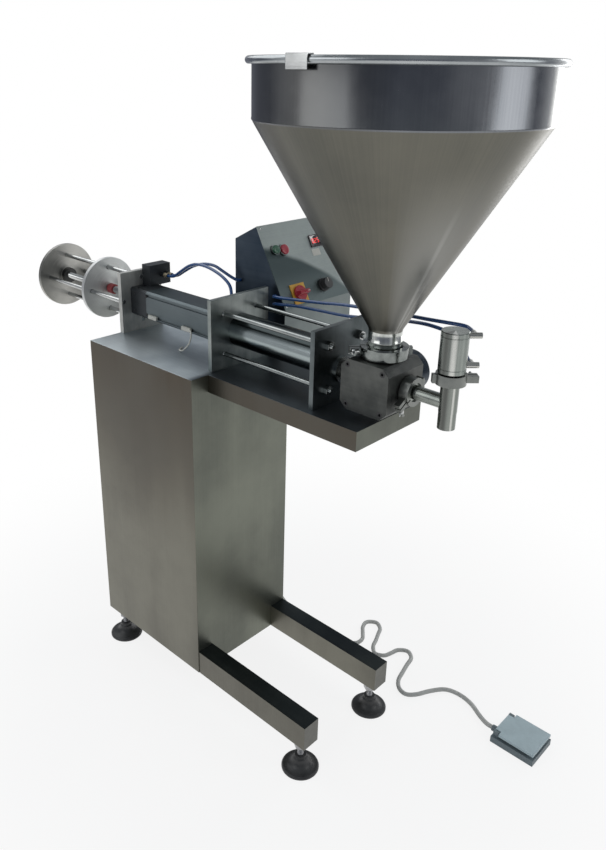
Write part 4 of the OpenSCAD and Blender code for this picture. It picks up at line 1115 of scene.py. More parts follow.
@dataclass
class AirCylinder:
    """The rear plate, the square air cylinder with its caps, its switches, fittings and hoses."""

    hose_radius: float = 4.0
    hoses: tuple[tuple[Point, ...], ...] = (
        ((72.4, 60, 1098), (96.4, 60, 1101), (124, 64, 1118), (156, 68, 1136), (190, 74, 1146), (222, 80, 1146),
         (250, 84, 1136), (272, 92, 1124), (287, 101, 1116), (288, 111.6, 1115)),
        ((72.4, 46, 1098), (98.4, 46, 1101.5), (128, 46, 1120), (162, 44, 1140), (200, 40, 1152), (240, 36, 1154),
         (280, 30, 1150), (316, 24, 1142), (346, 18, 1128), (362, 9, 1108), (366.5, 1, 1093.4), (366.5, 0, 1081.4)),
        ((414, 111.6, 1098), (416, 101, 1099), (426, 94.5, 1101), (450, 93, 1103), (480, 94, 1106), (520, 95, 1110),
         (580, 95, 1117), (640, 92, 1126), (717, 88, 1134), (780, 80, 1140), (830, 74, 1146), (880, 70, 1150),
         (930, 68, 1154), (970, 66, 1157), (990, 56, 1157), (1005.9, 41, 1157)),
        ((414, 111.6, 1078), (416, 102, 1079), (426, 98, 1082), (460, 100, 1086), (500, 103, 1090), (560, 104, 1093),
         (640, 105, 1097), (717, 105, 1108), (780, 96, 1122), (830, 86, 1130), (880, 78, 1136), (930, 72, 1134),
         (962, 70, 1122), (980, 64, 1104), (992, 53.5, 1098), (1005.9, 41, 1097)))
    lead: tuple[Point, ...] = (
        (264, -42, 1006), (276, -50, 999), (274, -56, 977), (252, -58, 955), (230, -52, 949), (220, -32, 949))

    def body(self) -> None:
        """Eases the plate's, the caps', the profile's and the moving parts' edges, and paints shade on the profile's
        top faces.
        """
        eased("rear_plate", "rear_plate_body", 1.0, "satin_stainless", finish="rear_satin")
        eased("cylinder_caps", "cylinder_caps_body", 1.0, "dark_anodised")
        barrel = Bench.refined("air_barrel", "air_barrel_body", 0.5)
        coat(barrel, "anodised_aluminium")
        # painted shade: the profile's top faces get a darker copy of its finish
        by_side(barrel, (Z, "profile_top_painted_shade"))
        place(barrel, "anodised_aluminium", ROOT, ["air_barrel"])
        eased("piston_rod", "piston_rod_turned", 0.6, "hard_chrome", "piston")
        eased("air_piston", "air_piston_turned", 0.6, "anodised_aluminium", "piston")
        eased("product_piston", "product_piston_turned", 0.6, "polished_stainless", "piston")
        eased("piston_seals", "piston_seal_rings", 0.4, "black_rubber", "piston")
        eased("rod_bumper", "rod_bumper_pad", 1.6, "red_rubber", "piston")

    def cap_screws(self) -> None:
        """Sets the socket screws in the caps' outer faces."""
        screw = Bench.spun("cap_screw", [(0.0, -2.0), (3.4, -2.0), (3.4, 0.9), (3.0, 1.3), (1.9, 1.3), (1.9, 0.2),
                                         (0.0, 0.2)], 20)
        spots = []
        for s, t in ((-1, -1), (-1, 1), (1, -1), (1, 1)):
            spots += [frame_at(at(40, s * 30, AXIS_Z + 38), Z), frame_at(at(56 + 26 * t, -38, AXIS_Z + s * 24), -Y)]
        place(Bench.repeated(screw, "cap_screws", spots), "black_steel")

    def fittings(self) -> None:
        """Dresses the valve block and adds the release rings of the push-in fittings."""
        block = Bench.refined("rear_air_valve", "rear_air_valve_block", 1.2)
        coat(block, "dark_anodised")
        by_place(block, "beige_nipple", lambda p: 49.0 < p.x < 100.0 and p.z > 1080)
        place(block, "dark_anodised", ROOT, ["rear_air_valve"])
        ring = Bench.spun("release_ring", [(4.05, 0.0), (5.4, 0.0), (5.4, 1.2), (5.0, 1.8), (4.05, 1.8)], 28,
                          closed=True)
        spots = [frame_at(at(72, 60, 1098), X), frame_at(at(72, 46, 1098), X), frame_at(at(366.5, 0, 1081), Z)]
        place(Bench.repeated(ring, "release_rings", spots), "dark_anodised")

    def sensor(self) -> None:
        """Builds the two clip-on switches with their lead."""
        cases = [Bench.block(f"switch_case_{i}", (x, -44, 1001), (x + 34, -38, 1011)) for i, x in enumerate((94, 230))]
        for case in cases:
            case.data.transform(Matrix.Translation(ORIGIN * MM))
            Bench.choose(case, lambda f: f.normal.y < -0.9)
            Bench.inset((2.0, -0.6))
            Bench.soften(case, 0.5)
        lead = Bench.tube("switch_lead", [at(*p) for p in self.lead], 2.0, 3)
        place(Bench.joined([*cases, lead], "reed_switches"), "white_plastic", ROOT, ["reed_sensor"])

    def run_hoses(self) -> None:
        """Runs the four air hoses in smooth curves."""
        made = [Bench.tube(f"hose_{i}", [at(*p) for p in route], self.hose_radius)
                for i, route in enumerate(self.hoses)]
        place(Bench.joined(made, "blue_air_hoses"), "blue_hose", ROOT, ["air_hoses"])

    def build(self) -> None:
        """Builds the air cylinder."""
        finishes.add(
            Steel("rear_satin", (0.66, 0.66, 0.62), (0.36, 0.37, 0.355), 0.42, cloud=12.0, metal=0.6),
            # painted shade for the profile's top faces
            Anodised("profile_top_painted_shade", (0.1, 0.125, 0.135), (0.05, 0.066, 0.074)),
            Anodised("beige_nipple", (0.5, 0.44, 0.32), (0.3, 0.26, 0.18), metal=0.6))
        self.body()
        self.cap_screws()
        self.fittings()
        self.sensor()
        self.run_hoses()


@dataclass
class ProductCylinder:
    """The polished product barrel between its plates, with tie rods and nuts."""

    tie_radius: float = 6.0
    tie_from: float = 375.0
    tie_to: float = 739.0
    tie_y: float = 53.0
    tie_z: float = 50.0
    thread_length: float = 30.0

    def tie_rod(self) -> Piece:
        """Builds one tie rod about +Z, with a thread at each end."""
        end, threads = threaded(self.thread_length, self.tie_radius, 1.75, 0.55), self.thread_length
        top = [(r, h + self.tie_to - self.tie_from - threads) for r, h in end]
        bottom = [(r, threads - h) for r, h in reversed(end)]
        return Bench.spun("tie_rod", bottom + top, 28, 20)

    def build(self) -> None:
        """Builds the product cylinder."""
        finishes.add(
            # painted highlight: the barrel's pale band along its side
            PolishedTube("barrel_painted_highlight", (0.36, 0.41, 0.415), (0.045, 0.055, 0.056), AXIS_Z * MM + 0.006, 0.017),
            Steel("tie_steel", (0.4, 0.42, 0.41), (0.22, 0.24, 0.24), 0.2, Grain.ALONG_X, 9.0, bump=0.04),
            Steel("plate_dull", (0.37, 0.4, 0.385), (0.165, 0.19, 0.185), 0.4, cloud=14.0),
            Steel("plate_dark", (0.15, 0.17, 0.174), (0.07, 0.084, 0.087), 0.36, cloud=14.0))
        eased("barrel_rear_plate", "barrel_rear_plate_plate", 1.2, "satin_stainless", finish="plate_dull")
        eased("barrel_front_plate", "barrel_front_plate_plate", 1.2, "satin_stainless", finish="plate_dark")
        eased("product_barrel", "product_barrel_tube", 0.6, "polished_stainless", finish="barrel_painted_highlight")
        spots = [frame_at(at(self.tie_from, s * self.tie_y, AXIS_Z + t * self.tie_z), X)
                 for s in (-1, 1) for t in (-1, 1)]
        place(Bench.repeated(self.tie_rod(), "tie_rod_bars", spots), "polished_stainless", ROOT, ["tie_rods"],
              "tie_steel")
        eased("tie_rod_nuts", "tie_rod_hexagons", 0.9, "polished_stainless")


@dataclass
class StrokeAdjuster:
    """The open cage behind the rear plate: end disc, stop disc, guide rods and the threaded spindle."""

    cage_radius: float = 60.0
    rod_radius: float = 6.0
    cage_length: float = 354.0
    rod_overlap: float = 14.0
    spindle_radius: float = 9.0
    knob_from: float = -396.0
    knob_length: float = 24.0
    stop_face: float = -138.0
    hub_radius: float = 22.5

    def discs(self) -> None:
        """Dresses both discs as turned steel, with the end disc's hub darker."""
        axis = tuple(at(0, 0, AXIS_Z))
        finishes.add(
            # painted highlight: the turned discs' bright and dull sectors
            TurnedSteel("turned_end", (0.62, 0.61, 0.57), (0.16, 0.16, 0.15), axis, 0.38, 1.0, 0.8),
            TurnedSteel("turned_stop", (0.9, 0.92, 0.9), (0.46, 0.47, 0.47), axis, 0.36, 1.0, 0.5),
            TurnedSteel("hub_dark", (0.09, 0.09, 0.09), (0.04, 0.04, 0.04), axis, 0.4))
        disc = Bench.refined("end_disc", "end_disc_turned", 1.4, 3)
        coat(disc, "turned_end")
        by_place(disc, "hub_dark", lambda p: math.hypot(p.y, p.z - AXIS_Z) < self.hub_radius)
        place(disc, "turned_stainless", ROOT, ["end_disc"])
        eased("stop_disc", "stop_disc_turned", 1.4, "turned_stainless", "stop", "turned_stop", 3)

    def rods(self) -> None:
        """Builds one guide rod and copies it to its four places."""
        r, length = self.rod_radius, self.cage_length + self.rod_overlap
        outline = [(0, 0), (r - 1, 0), (r, 1), (r, length - 1), (r - 1, length), (0, length)]
        rod = Bench.spun("cage_rod", outline, 28, 35)
        spots = [at(-self.cage_length, self.cage_radius * math.sin(a), AXIS_Z + self.cage_radius * math.cos(a))
                 for a in (i * math.pi / 2 for i in range(4))]
        place(Bench.repeated(rod, "cage_bars", [frame_at(s, X) for s in spots]), "polished_stainless", ROOT,
              ["cage_rods"])

    def spindle(self) -> None:
        """Builds the threaded spindle with its scalloped knob."""
        start = self.knob_from + self.knob_length
        thread = threaded(self.stop_face - 1.0 - start, self.spindle_radius, 4.0, 1.2, self.knob_length)
        bar = Bench.spun("spindle_bar", [(0.0, 2.0), (self.spindle_radius - 1, 2.0)] + thread, 32, 20)
        bar.data.transform(frame_at(at(self.knob_from, 0, AXIS_Z), X))
        knob = Bench.refined("stop_spindle", "spindle_knob", 1.6, 3)
        Bench.choose(knob, lambda f: (f.center / MM - ORIGIN).x > start + 2)
        bpy.ops.mesh.delete(type="FACE")
        bpy.ops.object.mode_set(mode="OBJECT")
        place(Bench.joined([knob, bar], "adjusting_spindle"), "polished_stainless", "spindle", ["stop_spindle"])

    def build(self) -> None:
        """Builds the stroke adjuster."""
        self.discs()
        self.rods()
        self.spindle()


@dataclass
class RotaryValve:
    """The three-way valve with its cover plate, its screws and the rotary actuator behind it."""

    half_width: float = 60.0
    screw_circle: float = 0.032
    screw_sunk: float = 0.003

    def build(self) -> None:
        """Builds the valve."""
        finishes.add(Anodised("navy_case", (0.028, 0.042, 0.06), (0.01, 0.018, 0.028), 0.28, 0.8))
        block = Bench.refined("valve_body", "valve_body_block", 1.6)
        coat(block, "dark_stainless")
        by_place(block, "polished_stainless", lambda p: p.x < VALVE_X - self.half_width - 1.0)
        place(block, "dark_stainless", ROOT, ["valve_body"])
        eased("valve_cover", "valve_cover_block", 1.2, "dark_stainless")
        eased("cover_screws", "cover_cap_screws", 0.5, "black_steel")
        eased("valve_rotor", "valve_plug", 0.6, "polished_stainless", "rotor")
        eased("valve_actuator", "actuator_case", 7.0, "dark_anodised", finish="navy_case", segments=5)
        self.band_screws()

    def band_screws(self) -> None:
        """Sets the cap screws in the actuator's outer face."""
        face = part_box("valve_actuator")[1].y - self.screw_sunk
        screw = Bench.spun("actuator_screw", [(0.0, -2.0), (3.6, -2.0), (3.6, 2.6), (3.2, 3.0), (2.0, 3.0), (2.0, 1.2),
                                              (0.0, 1.2)], 20)
        middle, r = at(VALVE_X, 0, VALVE_Z), self.screw_circle
        spots = [Vector((middle.x + r * math.cos(a), face, middle.z + r * math.sin(a)))
                 for a in (math.radians(45 + 90 * i) for i in range(4))]
        place(Bench.repeated(screw, "actuator_screws", [frame_at(s, Y) for s in spots]), "black_steel")


@dataclass
class Hopper:
    """The sheet hopper: neck ferrule, cone, drum and rolled rim, with its clip and its clamp."""

    neck_inner: float = 33.0
    neck: float = 35.0
    flange: float = 45.5
    low: float = 1088.0
    drum: float = 276.0
    rim: float = 288.0
    cone_low: float = 1135.0
    cone_high: float = 1537.0
    top: float = 1646.0
    lip: float = 7.0
    sheet: float = 2.0

    def outside(self) -> Outline:
        """The outline from the flange up the cone and drum to the rolled rim."""
        n, r, low, high = self.neck, self.drum, self.cone_low, self.cone_high
        slope = Vector((r - n, high - low)).normalized()
        mid, edge = self.top - self.lip, self.rim - self.lip
        return [(self.flange - 0.8, self.low), (self.flange, self.low + 0.8), (self.flange, self.low + 3.6),
                (self.flange - 1.6, self.low + 4.6), (n + 2.0, self.low + 6.0), (n, self.low + 7.5), (n, 1108.0),
                (n + 0.8, 1109.0), (n + 0.8, 1111.0), (n, 1112.0), (n, low - 3), (n + 0.6, low + 0.5),
                (n + slope.x * 6, low + slope.y * 6),
                *((n + (r - n) * f, low + (high - low) * f) for f in (0.25, 0.5, 0.75)),
                (r - slope.x * 7, high - slope.y * 7), (r - 1.0, high - 1.2), (r + 0.5, high + 1.0),
                (r + 0.5, high + 3.0), (r, high + 4.2), (r, self.top - 18), (r, self.top - 14.0),
                (r + 2.0, self.top - 14.0),
                *((edge + self.lip * math.cos(a), mid + self.lip * math.sin(a))
                  for a in map(math.radians, range(-75, 91, 15)))]

    def inside(self) -> Outline:
        """The outline from the rim down the inner wall to the neck."""
        n, r, wall = self.neck_inner, self.drum, self.drum - self.sheet
        return [(r + 1.0, self.top), (r - 1.0, self.top - 0.6), (wall, self.top - 3.0), (wall, self.cone_high + 3.0),
                (wall - 0.6, self.cone_high + 1.0), (n + 1.0, self.cone_low + 4.0), (n, self.cone_low + 1.0),
                (n, self.low + 1.0), (n + 0.8, self.low)]

    def shell(self) -> None:
        """Spins the shell, with soft bends and raised weld seams, and gives each zone its finish."""
        piece = Bench.spun("hopper_sheet", self.outside() + self.inside(), 160, 40, True)
        piece.data.transform(Matrix.Translation(at(VALVE_X, 0, 0)))
        coat(piece, "hopper_drum")
        by_place(piece, "hopper_cone", lambda p: p.z < self.cone_high)
        by_place(piece, "hopper_neck", lambda p: p.z < self.cone_low)
        by_place(piece, "hopper_rim", lambda p: p.z > self.top - 14.5)
        by_place(piece, "hopper_inside", lambda p: math.hypot(p.x - VALVE_X, p.y) < self.shell_line(p.z))
        place(piece, "hopper_stainless", ROOT, ["hopper_shell"])

    def shell_line(self, height: float) -> float:
        """The radius of the middle of the wall at a height."""
        if height > self.cone_high:
            return self.drum - 1.0
        if height < self.cone_low:
            return self.neck - 1.0
        share = (height - self.cone_low) / (self.cone_high - self.cone_low)
        return self.neck + (self.drum - self.neck) * share - 1.2

    def build(self) -> None:
        """Builds the hopper."""
        middle = tuple(at(VALVE_X, 0, 0))
        finishes.add(
            # painted highlights and painted dark reflections: the drum's and the cone's bands at fixed bearings
            SpunSheet("hopper_drum", (0.25, 0.26, 0.272), (0.10, 0.108, 0.122), middle, 0.22, 2.2, painted_light_bands=(
                (-2.25, 0.5, ANYWHERE, 0.03), (-2.5, 0.35, ANYWHERE, 0.01), (-1.5, 0.5, ANYWHERE, 0.1),
                (0.55, 0.45, ANYWHERE, 1.3), (0.6, 0.3, ANYWHERE, 1.4))),
            SpunSheet("hopper_cone", (0.185, 0.178, 0.148), (0.085, 0.086, 0.077), middle, 0.38, 1.6, painted_light_bands=(
                (-0.36, 0.045, 1.43, 0.62), (-0.21, 0.03, 1.3, 0.6), (-2.2, 0.42, ANYWHERE, 0.03),
                (-2.5, 0.4, ANYWHERE, 0.005), (-0.45, 0.5, 1.5, 0.3))),
            Steel("hopper_rim", (0.44, 0.46, 0.47), (0.26, 0.28, 0.29), 0.24, Grain.EVEN, 6.0, bump=0.04),
            SpunSheet("hopper_neck", (0.8, 0.82, 0.78), (0.26, 0.275, 0.265), middle, 0.16, 2.6),
            Steel("hopper_inside", (0.36, 0.37, 0.38), (0.24, 0.25, 0.26)),
            Steel("clamp_cast", (0.27, 0.29, 0.28), (0.08, 0.09, 0.088), 0.2, Grain.EVEN, 30.0, bump=0.05))
        self.shell()
        eased("rim_clip", "rim_clip_strap", 0.7, "polished_stainless")
        eased("hopper_clamp", "hopper_clamp_band", 1.4, "polished_stainless", finish="clamp_cast", segments=3)
        eased("clamp_gaskets", "clamp_gasket_rings", 0.3, "white_silicone")


@dataclass
class WingNuts:
    """The three wing nuts of the pipe clamps, each with a round hub and two swept wings."""

    hub_radius: float = 6.0
    hub_length: float = 9.0
    hub_reach: float = 0.011
    seat: float = 0.001

    def master(self) -> Piece:
        """Builds one wing nut: its hub along +Z, its wings along X."""
        hub = Bench.spun("wing_hub", [(3.2, 0.0), (self.hub_radius, 0.0), (self.hub_radius, 1.2), (5.0, 6.0),
                                      (4.6, self.hub_length), (3.2, self.hub_length)], 28, 40, True)
        wings = []
        for side in (-1, 1):
            wing = Bench.block(f"wing_{side}", (3.4, -2.0, 1.6), (8.0, 2.0, 6.6))
            Bench.choose(wing, lambda f: f.normal.x > 0.9)
            bpy.ops.mesh.extrude_region_move(TRANSFORM_OT_translate={"value": (4.4 * MM, 0, 4.6 * MM)})
            bpy.ops.transform.resize(value=(1, 0.72, 1.1))
            Bench.pick(wing)
            Bench.apply(wing, "SUBSURF", levels=2, render_levels=2)
            bpy.ops.object.shade_smooth()
            if side < 0:
                wing.data.transform(Matrix.Rotation(math.pi, 4, "Z"))
            wings.append(wing)
        return Bench.joined([hub, *wings], "wing_nut_master")

    def stand(self, node: str, body: str) -> Matrix:
        """Where a wing nut stands: on its joint's axis, its hub on the clamp and its wings where the node's are."""
        joint = next(j for j in frame["joints"] if j["child"] == body)
        axis, origin = Vector(joint["axis"]).normalized(), Vector(joint["pos_m"])
        corners = [v.co - origin for v in frame["nodes"][node].data.vertices]
        spokes = [c - axis * c.dot(axis) for c in corners]
        heights = [c.dot(axis) for c in corners]
        start, end = min(heights), max(heights)
        wing = min((h for h, s in zip(heights, spokes) if s.length > self.hub_reach), default=start) - start
        turned = wing < end - start - wing and wing < self.seat
        base, up = (origin + axis * end, -axis) if turned else (origin + axis * start, axis)
        return frame_at(base, up, max(spokes, key=lambda s: s.length))

    def build(self) -> None:
        """Copies the wing nut to the three clamps."""
        master = self.master()
        for spot in ("hopper", "outlet", "nozzle"):
            node, body = spot + "_wing_nut", spot + "_nut"
            piece = Bench.copied(master, node + "_wings", self.stand(node, body))
            place(piece, "polished_stainless", body, [node])
        bpy.data.objects.remove(master)


@dataclass
class Nozzle:
    """The outlet pipe, its clamps and the shut-off nozzle with its small air cylinder."""

    def barrel(self) -> None:
        """Spins the nozzle's air cylinder, with grooves at its end caps."""
        outline = [(0.0, 1071.0), (24.6, 1071.0), (25.2, 1071.6), (25.2, 1076.2), (18.6, 1077.2), (18.0, 1078.0),
                   (18.0, 1082.0), (26.6, 1083.0), (27.5, 1084.0), (27.5, 1091.5), (26.8, 1092.2), (26.8, 1093.0),
                   (27.5, 1093.7), (27.5, 1156.0), (26.8, 1156.7), (26.8, 1157.5), (27.5, 1158.2), (27.5, 1165.6),
                   (26.1, 1167.0), (0.0, 1167.0)]
        piece = Bench.spun("nozzle_barrel", outline, 72, 30)
        piece.data.transform(Matrix.Translation(at(NOZZLE_X, 0, 0)))
        place(piece, "nozzle_steel", ROOT, ["nozzle_cylinder"])

    def build(self) -> None:
        """Builds the nozzle."""
        spot = tuple(at(NOZZLE_X, 0, 0))
        finishes.add(
            # painted highlight and painted dark reflection on each tube, as bands at fixed bearings
            SpunSheet("nozzle_steel", (0.41, 0.44, 0.41), (0.1, 0.118, 0.112), spot, 0.26, 2.4, 30.0,
                      ((-1.62, 0.42, ANYWHERE, 0.06), (-1.02, 0.26, ANYWHERE, 0.8))),
            SpunSheet("outlet_steel", (0.36, 0.38, 0.35), (0.09, 0.105, 0.1), spot, 0.24, 2.0, 30.0,
                      ((-1.5, 0.5, ANYWHERE, 0.08), (-0.55, 0.16, ANYWHERE, 0.7))))
        eased("outlet_tee", "outlet_pipe", 0.8, "satin_stainless", finish="outlet_steel")
        eased("pipe_clamps", "pipe_clamp_bands", 1.3, "satin_stainless", segments=3)
        eased("nozzle_plunger", "shut_off_plunger", 0.6, "polished_stainless", "plunger")
        eased("nozzle_fittings", "nozzle_push_fittings", 0.8, "nickel_brass")
        self.barrel()


@dataclass
class Console:
    """The sloping control console: sheet case, panel, display, buttons, main switch and timer.

    Each button has its colour, its place on the panel and its radius.
    """

    corner: Vector = field(default_factory=lambda: at(342.2, 112.0, 1259.4))
    plate: float = 2.5
    buttons: tuple[tuple[str, tuple[float, float], float], ...] = (
        ("red", (62.0, 71.0), 13.0), ("green", (33.0, 67.0), 11.0))
    display_at: tuple[float, float] = (188.0, 64.0)
    switch_at: tuple[float, float] = (65.0, 188.0)
    timer_at: tuple[float, float] = (162.0, 182.0)

    def panel_frame(self, u: float, v: float, w: float = 0.0) -> Matrix:
        """A matrix on the sloping panel: +X across it, +Y up the slope and +Z out of it.

        Args:
            u: distance from the panel's left edge.
            v: distance down from its upper edge.
            w: height above its back face.

        Returns:
            The matrix at that point.
        """
        up, out = Vector((-0.4695, 0, 0.8829)), Vector((0.8829, 0, 0.4695))
        return columns(Y, up, out, self.corner + (Y * u - up * v + out * w) * MM)

    def case(self) -> None:
        """Eases the folded case, the panel and the bracket."""
        for node, width, slot, finish in (("console_shell", 0.9, "console_stainless", "console_stainless"),
                                          ("console_panel", 0.8, "console_stainless", "panel_face_painted_shade"),
                                          ("console_bracket", 1.0, "brushed_stainless", "brushed_stainless")):
            piece = Bench.refined(node, node + "_sheet", width)
            coat(piece, finish)
            if node != "console_panel":
                # painted shade: the case's and the bracket's -Y sides get a dark blue copy of the steel
                by_side(piece, (-Y, "console_side_painted_shade"))
            place(piece, slot, ROOT, [node])
        eased("solenoid_valves", "solenoid_bank", 0.8, "anodised_aluminium")

    def push_buttons(self) -> None:
        """Builds the domed caps of the two push buttons, and then the bright rings round them."""
        for colour, spot, r in self.buttons:
            cap = Bench.spun(colour + "_button_cap", [
                (0.0, -18.0), (5.0, -18.0), (5.0, 5.6), (r - 3.0, 5.7), (r - 0.6, 5.9), (r, 6.6), (r, 10.2),
                (r - 0.7, 11.6), (r - 2.2, 12.2), (r - 4.0, 12.0), (r * 0.35, 11.4), (0.0, 11.2)], 48, 35)
            cap.data.transform(self.panel_frame(*spot))
            place(cap, colour + "_plastic", colour + "_push", [colour + "_button"])
        rings = []
        for colour, spot, r in self.buttons:
            ring = Bench.spun(colour + "_ring", [
                (r + 0.35, self.plate), (r + 2.4, self.plate), (r + 2.4, 5.9), (r + 1.8, 7.2), (r + 0.35, 7.5)],
                48, 35, True)
            ring.data.transform(self.panel_frame(*spot))
            rings.append(ring)
        place(Bench.joined(rings, "button_rings"), "polished_stainless")

    def segment(self, low: tuple[float, float], high: tuple[float, float]) -> Piece:
        """Builds one lit bar of the display."""
        return Bench.soften(Bench.block("bar", (*low, 0.0), (*high, 0.25)), 0.2, 1)

    def digit(self, lit: str, x: float) -> list[Piece]:
        """Builds one digit.

        Args:
            lit: the letters of its lit bars.
            x: its left edge on the display.

        Returns:
            Its bars.
        """
        bars = {"a": (1, 11, 6, 12.2), "g": (1, 5.5, 6, 6.7), "d": (1, 0, 6, 1.2), "f": (0, 6.4, 1.2, 11.2),
                "b": (5.8, 6.4, 7, 11.2), "e": (0, 1, 1.2, 5.8), "c": (5.8, 1, 7, 5.8)}
        return [self.segment((x + x0, y0), (x + x1, y1)) for x0, y0, x1, y1 in (bars[k] for k in lit)]

    def readout(self) -> None:
        """Builds the display: a black frame, a dark window and its lit digits."""
        case = Bench.refined("display", "display_case", 1.0)
        middle = self.panel_frame(*self.display_at, self.plate + 3.0).translation
        Bench.choose(case, lambda f: f.area > 0.0004 and (f.center - middle).length < 0.006)
        Bench.inset((4.0, 0.0), (0.5, -1.0))
        place(case, "display_black", ROOT, ["display"])
        zero, two, five = self.digit("abcdef", -14.0), self.digit("abged", -4.4), self.digit("afgcd", 5.2)
        digits = Bench.joined([*zero, *two, *five, self.segment((-6.4, 0), (-5.2, 1.2))], "display_digits")
        digits.data.transform(self.panel_frame(*self.display_at, self.plate + 2.05)
                              @ Matrix.Translation((0, -6 * MM, 0)))
        place(digits, "red_plastic", finish="lit_red")

    def main_switch(self) -> None:
        """Builds the yellow plate and the red rotary handle of the main switch."""
        eased("main_switch_plate", "switch_plate", 0.8, "yellow_plastic")
        base = Bench.spun("switch_dial", [(0.0, -30.0), (7.6, -30.0), (7.6, 5.9), (19.2, 5.9), (20.0, 6.8),
                                          (20.0, 11.6), (18.6, 13.4), (14.0, 13.8), (0.0, 13.8)], 56, 35)
        handle = Bench.block("switch_handle", (-19.0, -7.0, 12.6), (19.0, 7.0, 28.0))
        Bench.choose(handle, lambda f: f.normal.z > 0.9)
        bpy.ops.transform.resize(value=(0.94, 0.55, 1))
        Bench.inset((1.2, 0.0))
        Bench.soften(handle, 2.2, 4, 20)
        line = Bench.block("switch_line", (8.0, -0.9, 27.2), (16.5, 0.9, 28.25))
        for part, finish in ((base, "red_plastic"), (handle, "red_plastic"), (line, "white_plastic")):
            coat(part, finish)
        knob = Bench.joined([base, handle, line], "main_switch_handle")
        knob.data.transform(self.panel_frame(*self.switch_at))
        place(knob, "red_plastic", "main_switch", ["main_switch_knob"])

    def timer(self) -> None:
        """Builds the timer's fluted knob with its pointer, and the ticks round it."""
        skirt = Bench.spun("timer_skirt", [(0.0, -12.0), (4.8, -12.0), (4.8, 3.0), (17.4, 3.0), (18.0, 3.6),
                                           (17.6, 7.6), (16.2, 8.8), (0.0, 8.8)], 56, 35)
        grip = Bench.drum("timer_grip", 15.0, 16.0, 8.5, 56)
        sides = sorted((f for f in grip.data.polygons if abs(f.normal.z) < 0.1),
                       key=lambda f: math.atan2(f.center.y, f.center.x))
        flutes = {f.index for i, f in enumerate(sides) if i % 4 < 2}
        Bench.choose(grip, lambda f: f.index in flutes)
        Bench.inset((0.2, -0.7))
        Bench.choose(grip, lambda f: f.normal.z > 0.9 and f.area > 1e-4)
        Bench.inset((1.6, 0.4))
        Bench.soften(grip, 0.5, 2, 40)
        line = Bench.block("timer_line", (-0.7, 3.0, 24.4), (0.7, 13.0, 25.1))
        for part, finish in ((skirt, "black_plastic"), (grip, "black_plastic"), (line, "white_plastic")):
            coat(part, finish)
        knob = Bench.joined([skirt, grip, line], "timer_dial")
        knob.data.transform(self.panel_frame(*self.timer_at))
        place(knob, "black_plastic", "timer", ["timer_knob"])
        ticks = []
        for i in range(11):
            tick = Bench.block(f"tick_{i}", (-0.45, 20.5, 0.0), (0.45, 24.5 if i % 5 == 0 else 22.8, 0.15))
            tick.data.transform(self.panel_frame(*self.timer_at, self.plate)
                                @ Matrix.Rotation(math.radians(135 - 27 * i), 4, "Z"))
            ticks.append(tick)
        place(Bench.joined(ticks, "timer_ticks"), "black_steel")

    def label(self) -> None:
        """Sets the blank pale plate under the display."""
        plate = Bench.soften(Bench.block("blank_plate", (-15.0, -9.0, 0.0), (15.0, 9.0, 0.5)), 0.2, 1)
        plate.data.transform(self.panel_frame(178.0, 94.0, self.plate))
        place(plate, "white_plastic")

    def screws(self) -> None:
        """Sets the small screws at the panel's corners."""
        screw = Bench.spun("panel_screw", [(0.0, 0.5), (1.0, 0.5), (1.3, 1.5), (2.3, 1.3), (3.0, 0.5), (3.2, 0.0),
                                           (0.0, 0.0)], 20)
        spots = [self.panel_frame(u, v, self.plate) for u, v in ((8, 8), (252, 8), (8, 212), (252, 212))]
        place(Bench.repeated(screw, "panel_screws", spots), "polished_stainless")

    def build(self) -> None:
        """Builds the console."""
        finishes.add(
            # painted shade: the dark blue sides, and the dark lower part of the panel
            Steel("console_side_painted_shade", (0.075, 0.095, 0.12), (0.022, 0.036, 0.055), 0.4, Grain.ALONG_X, 6.0, bump=0.03),
            PanelFace("panel_face_painted_shade", (0.36, 0.4, 0.385), (0.055, 0.075, 0.078), (0.15, 0.185, 0.185),
                      tuple(self.corner)),
            Moulded("lit_red", (0.6, 0.02, 0.02), 0.4, glow=(1.0, 0.03, 0.02)))
        self.case()
        self.push_buttons()
        self.readout()
        self.main_switch()
        self.timer()
        self.label()
        self.screws()


@dataclass
class FootSwitch:
    """The foot switch: a low base under a smooth pedal on a hinge pin."""

    corner: float = 9.0
    near: float = 0.0005

    def rounded(self, node: str, name: str, width: float) -> Piece:
        """A refined copy of a node whose upright outer corners are rounded first.

        Args:
            node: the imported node.
            name: the new piece's name.
            width: the bevel of the other edges, in millimetres.

        Returns:
            The new piece.
        """
        piece = Bench.refined(node, name, 0.01, 1)
        low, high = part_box(node)
        Bench.pick(piece)
        weights = piece.data.attributes.new("bevel_weight_edge", "FLOAT", "EDGE")
        for edge in piece.data.edges:
            a, b = (piece.data.vertices[i].co for i in edge.vertices)
            upright = abs(a.x - b.x) < 1e-4 and abs(a.y - b.y) < 1e-4 and abs(a.z - b.z) > 0.003
            outer = abs(a.x - high.x) < self.near and min(abs(a.y - low.y), abs(a.y - high.y)) < self.near
            weights.data[edge.index].value = float(upright and outer)
        Bench.apply(piece, "BEVEL", limit_method="WEIGHT", width=self.corner * MM, segments=6)
        return Bench.soften(piece, width, 3)

    def build(self) -> None:
        """Builds the foot switch."""
        place(self.rounded("foot_switch_base", "switch_base", 1.6), "grey_plastic", ROOT, ["foot_switch_base"])
        place(self.rounded("foot_pedal", "pedal_plate", 1.8), "pale_blue_plastic", "pedal", ["foot_pedal"])


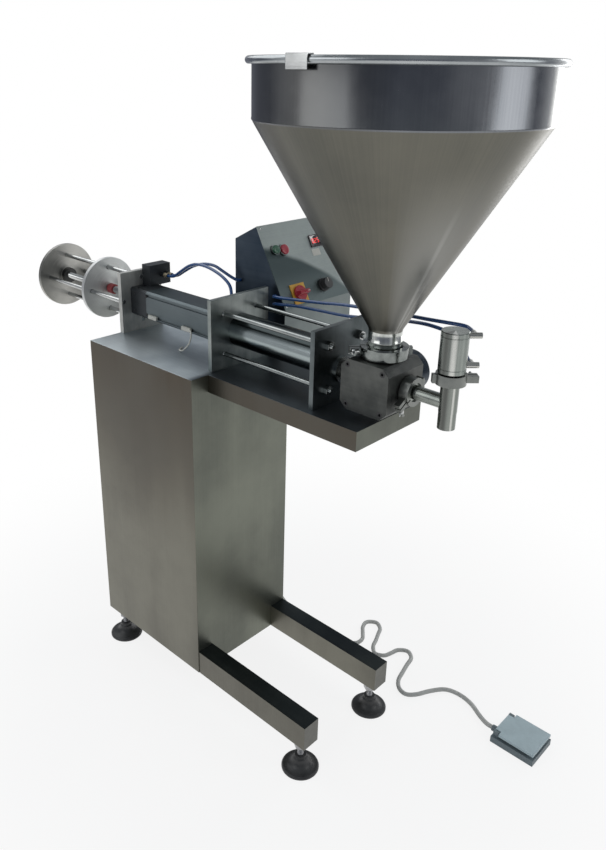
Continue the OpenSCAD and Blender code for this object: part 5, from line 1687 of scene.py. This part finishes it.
def write_sizes() -> None:
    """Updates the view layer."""
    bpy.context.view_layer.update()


def main() -> None:
    """Builds the studio, the cord and every sub-assembly, in order."""
    logging.basicConfig(level=logging.INFO, format="%(message)s")
    studio = Studio()
    studio.aim()
    FootCord().build()
    studio.light()
    studio.surround()
    studio.ground()
    for assembly in (Cabinet(), AirCylinder(), ProductCylinder(), StrokeAdjuster(), RotaryValve(), Hopper(),
                     WingNuts(), Nozzle(), Console(), FootSwitch()):
        assembly.build()
        log.info("built %s", type(assembly).__name__)
    write_sizes()


if __name__ == "__main__":
    main()
